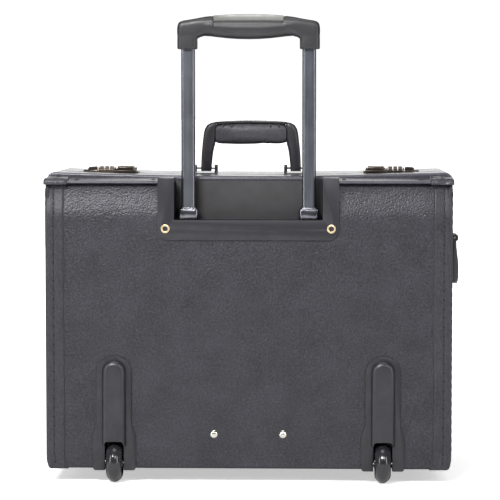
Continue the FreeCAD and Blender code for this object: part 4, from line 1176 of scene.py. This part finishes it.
@dataclass
class PullGrip:
    """Moulded grip on the inner tubes: a barrel, fullest in the middle, between two tube sockets. Sizes in mm."""
    finishes: Finishes
    half: float = 96.6
    y: float = -109.0
    half_depth: float = 13.0
    socket_half: float = 13.8
    rib_pitch: float = 3.2
    rib_depth: float = 0.3
    profile: tuple[tuple[float, float, float], ...] = (
        (0.0, 603.2, 631.5), (15.0, 603.5, 631.4), (30.0, 604.6, 631.2), (45.0, 606.3, 630.6), (47.4, 606.6, 630.4),
        (48.0, 606.7, 634.4), (52.0, 607.2, 634.6), (60.0, 607.6, 633.6), (66.0, 606.0, 632.4), (72.0, 602.0, 631.2),
        (80.0, 600.0, 629.8), (88.0, 600.5, 628.6), (92.5, 601.5, 627.2), (95.3, 604.0, 624.6),
        (96.4, 608.0, 620.5), (96.6, 611.0, 617.5))

    def build(self) -> None:
        """Lofts the barrel along X and both sockets along Z, as one moulding."""
        table = np.array(self.profile)
        x = lines(-self.half, self.half, 3.0, tuple(s * v for v in table[:, 0] for s in (-1, 1)))
        low = np.interp(np.abs(x), table[:, 0], table[:, 1])
        top = np.interp(np.abs(x), table[:, 0], table[:, 2])
        ends = np.clip((np.abs(x) - 90.0) / 6.6, 0.0, 1.0)
        depth = self.half_depth * (1.0 - 0.45 * ends ** 3)
        power = 2.7 + 1.6 * smoothstep(55.0, 75.0, np.abs(x))
        ring = rounded_ring(depth, (top - low) / 2, power, 48)
        gx = np.repeat(x[:, None], 48, 1)
        z = ring[..., 1] + ((top + low) / 2)[:, None]
        rib = self.rib_depth * np.cos(2.0 * np.pi * z / self.rib_pitch) * smoothstep(62.0, 54.0, np.abs(gx))
        y = self.y + ring[..., 0] * (1.0 + rib / self.half_depth)
        points, faces = tunnel(np.stack([gx, y, z], -1))
        parts = [(points * MM, faces)]
        z = np.array([590.0, 590.4, 591.4, 593.0, 600.0, 608.0, 616.0, 622.0, 624.0])
        pull = np.array([1.1, 0.5, 0.15, 0.0, 0.0, 0.1, 0.4, 1.4, 3.0])
        ring = rounded_ring(self.socket_half - pull, self.half_depth - pull, np.full(len(z), 4.2), 40)
        for side in Side:
            gz = np.repeat(z[:, None], 40, 1)
            centre = self.half - self.socket_half
            x = side.value * (centre + ring[..., 0])
            points, faces = tunnel(np.stack([x, self.y + ring[..., 1], gz], -1))
            parts.append((points * MM, faces))
        piece = merged("moulded_pull_grip", parts, self.finishes.grip)
        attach(piece, "handle_upper")
        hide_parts("pull_grip")
        LOG.info("built the pull grip")


@dataclass
class CarryHandle:
    """Hinged carrying handle: two moulded arms, a padded wrap between them. Sizes in mm about the pivot."""
    finishes: Finishes
    name: str
    node: str
    body: str
    pivot: tuple[float, float, float]
    axes: tuple[tuple[float, float, float], ...]
    half_depth: float
    arm: tuple[tuple[float, float, float, float, float], ...] = (
        (70.3, -4.4, 55.7, -4.4, 0.36), (70.5, -2.4, 55.4, -2.4, 0.46), (70.4, 3.0, 55.2, 3.0, 0.46),
        (70.1, 12.0, 54.3, 12.0, 0.52), (69.5, 22.0, 53.3, 21.0, 0.7), (68.6, 32.0, 51.8, 28.5, 0.88),
        (67.6, 41.0, 50.4, 33.0, 0.98), (66.8, 48.0, 49.6, 38.0, 1.0), (65.2, 55.0, 49.3, 44.0, 1.0),
        (61.8, 60.5, 49.2, 50.0, 1.0), (56.5, 63.6, 49.1, 55.0, 0.96), (50.4, 64.6, 49.0, 58.0, 0.9))

    def world(self, local: np.ndarray) -> np.ndarray:
        """Turns points about the pivot, in mm, into the frame in metres."""
        return (np.array(self.pivot) + local @ np.array(self.axes)) * MM

    def build(self) -> None:
        """Builds the arms as one piece and the padded wrap as another."""
        rows = np.array(self.arm)
        outer, inner, depth = rows[:, 0:2], rows[:, 2:4], rows[:, 4] * self.half_depth
        middle, half = (outer + inner) / 2, (outer - inner) / 2
        size = np.linalg.norm(half, axis=1)
        ring = rounded_ring(size, depth, np.full(len(rows), 3.4), 32)
        way = half / size[:, None]
        parts = []
        for side in Side:
            x = side.value * (middle[:, None, 0] + ring[..., 0] * way[:, None, 0])
            z = middle[:, None, 1] + ring[..., 0] * way[:, None, 1]
            points, faces = tunnel(np.stack([x, ring[..., 1], z], -1))
            parts.append((self.world(points), faces))
        piece = merged(self.name + "_arms", parts, self.finishes.moulded)
        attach(piece, self.body)
        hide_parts(self.node)
        LOG.info("built %s", piece.name)
        self.wrap()

    def wrap(self) -> None:
        """Foam-padded vinyl sleeve, bowed below and swelled as cloth, with soft wrinkles across it."""
        x = np.linspace(-50.6, 50.6, 46)
        t = np.abs(x) / 50.6
        low = 33.8 + 0.8 * t ** 2
        top = 64.6 - 2.4 * t ** 2
        ends = 1.0 - 0.12 * smoothstep(0.86, 1.0, t)
        ring = rounded_ring((self.half_depth - 0.8) * ends, (top - low) / 2 * ends, np.full(len(x), 3.6), 40)
        gx = np.repeat(x[:, None], 40, 1)
        wrinkle = 1.0 + 0.02 * ripple(gx * MM, ring[..., 1] * 0.3 * MM, 81, finest=0.006)
        rise = ring[..., 1] * wrinkle + ((top + low) / 2)[:, None]
        local = np.stack([gx, ring[..., 0] * wrinkle, rise], -1)
        points, faces = tunnel(local)
        piece = merged(self.name + "_padded_wrap", [(self.world(points), faces)], self.finishes.handle_vinyl)
        inflate(piece, 2.6 * MM, 1.3 * MM)
        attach(piece, self.body)


@dataclass
class Inside:
    """Padded laptop divider and the strap that holds it. Sizes in mm."""
    finishes: Finishes
    half: float = 238.0
    y: float = 34.0
    half_t: float = 4.6
    low: float = 27.4
    top: float = 298.0
    strap_half: float = 19.0
    strap_t: float = 1.7

    def build(self) -> None:
        """Builds the divider and its strap."""
        self.divider()
        self.strap()

    def divider(self) -> None:
        """Foam pad swelled as cloth from a thin rounded slab, pinched 1 mm along four sewn channels."""
        z = lines(self.low, self.top, 6.0)
        edge = np.minimum(z - self.low, self.top - z)
        t = self.half_t * np.sqrt(np.clip(1.0 - (1.0 - np.minimum(edge / 5.0, 1.0)) ** 2, 0.08, 1.0))
        channel = np.exp(-((z[:, None] - np.array([80.0, 135.0, 190.0, 245.0])) ** 2) / 18.0).sum(-1)
        ring = rounded_ring(np.full(len(z), self.half), t - 1.3 * channel, np.full(len(z), 14.0), 200)
        gz = np.repeat(z[:, None], 200, 1)
        points, faces = tunnel(np.stack([ring[..., 0], self.y + ring[..., 1], gz], -1))
        piece = merged("padded_divider", [(points * MM, faces)], self.finishes.lining)
        inflate(piece, 4.5 * MM, 1.6 * MM)
        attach(piece, "case")
        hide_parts("laptop_divider")

    def strap(self) -> None:
        """Webbing strap: up the divider, across its top with a 2 mm sag, and down the front wall."""
        route = np.array([[25.3, 210.0], [25.2, 240.0], [25.2, 280.0], [25.3, 308.0], [26.0, 314.5], [28.5, 318.2],
                          [34.0, 318.9], [50.0, 318.2], [75.0, 317.2], [100.0, 318.0], [113.0, 318.8],
                          [117.6, 317.8], [119.4, 313.5], [119.7, 300.0], [119.7, 260.0]])
        ahead = np.gradient(route, axis=0)
        ahead /= np.linalg.norm(ahead, axis=1, keepdims=True)
        normal = np.stack([-ahead[:, 1], ahead[:, 0]], -1)
        ring = rounded_ring(np.full(len(route), self.strap_half), np.full(len(route), self.strap_t / 2),
                            np.full(len(route), 7.0), 28)
        y = route[:, None, 0] + ring[..., 1] * normal[:, None, 0]
        z = route[:, None, 1] + ring[..., 1] * normal[:, None, 1]
        points, faces = tunnel(np.stack([ring[..., 0], y, z], -1))
        piece = merged("webbing_strap", [(points * MM, faces)], self.finishes.webbing)
        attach(piece, "case")
        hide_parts("divider_strap")
        LOG.info("built the divider strap")


@dataclass
class Fixings:
    """Near-black centres of the two bezel screws, painted reflection of the dark surroundings in the domed heads.
    Sizes in mm; each screw is x, y, z and radius.
    """
    finishes: Finishes
    screws: tuple[tuple[float, float, float, float], ...] = (
        (112.4, -129.25, 347.5, 3.35), (-112.4, -129.25, 347.5, 3.35))

    def build(self) -> None:
        """Lofts one shallow domed plug with a dished middle into each screw head."""
        r = np.array([1.0, 1.0, 0.93, 0.75, 0.45, 0.15])
        out = np.array([-0.2, 0.5, 0.85, 0.8, 0.35, 0.3])
        t = np.linspace(0.0, 2.0 * np.pi, 28, endpoint=False)
        parts = []
        for x, y, z, radius in self.screws:
            gx = x + radius * r[:, None] * np.cos(t)[None]
            gz = z + radius * r[:, None] * np.sin(t)[None]
            gy = np.repeat((y - out)[:, None], 28, 1)
            points, faces = tunnel(np.stack([gx, gy, gz], -1))
            parts.append((points * MM, faces))
        # Near-black plugs: painted reflection in the screw heads
        piece = merged("screw_reflection_centres", parts, self.finishes.ear)
        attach(piece, "case")
        LOG.info("built the screw centres")


FRAME: dict = {}


def main() -> None:
    """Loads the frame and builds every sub-assembly in order."""
    logging.basicConfig(level=logging.INFO, format="%(name)s: %(message)s")
    FRAME.update(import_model())
    Studio().build()
    finishes = build_finishes()
    Hardware(finishes).build()
    CaseShell(finishes).build()
    Lid(finishes).build()
    PullGrip(finishes).build()
    CarryHandle(finishes, "carry_handle", "carry_handle_core", "carry_handle", (0.0, 0.0, 426.0),
                ((1.0, 0.0, 0.0), (0.0, 1.0, 0.0), (0.0, 0.0, 1.0)), 10.0).build()
    CarryHandle(finishes, "side_handle", "side_handle_core", "side_handle", (282.0, 0.0, 333.0),
                ((0.0, 1.0, 0.0), (1.0, 0.0, 0.0), (0.0, 0.0, -1.0)), 6.7).build()
    Inside(finishes).build()
    Fixings(finishes).build()


if __name__ == "__main__":
    main()
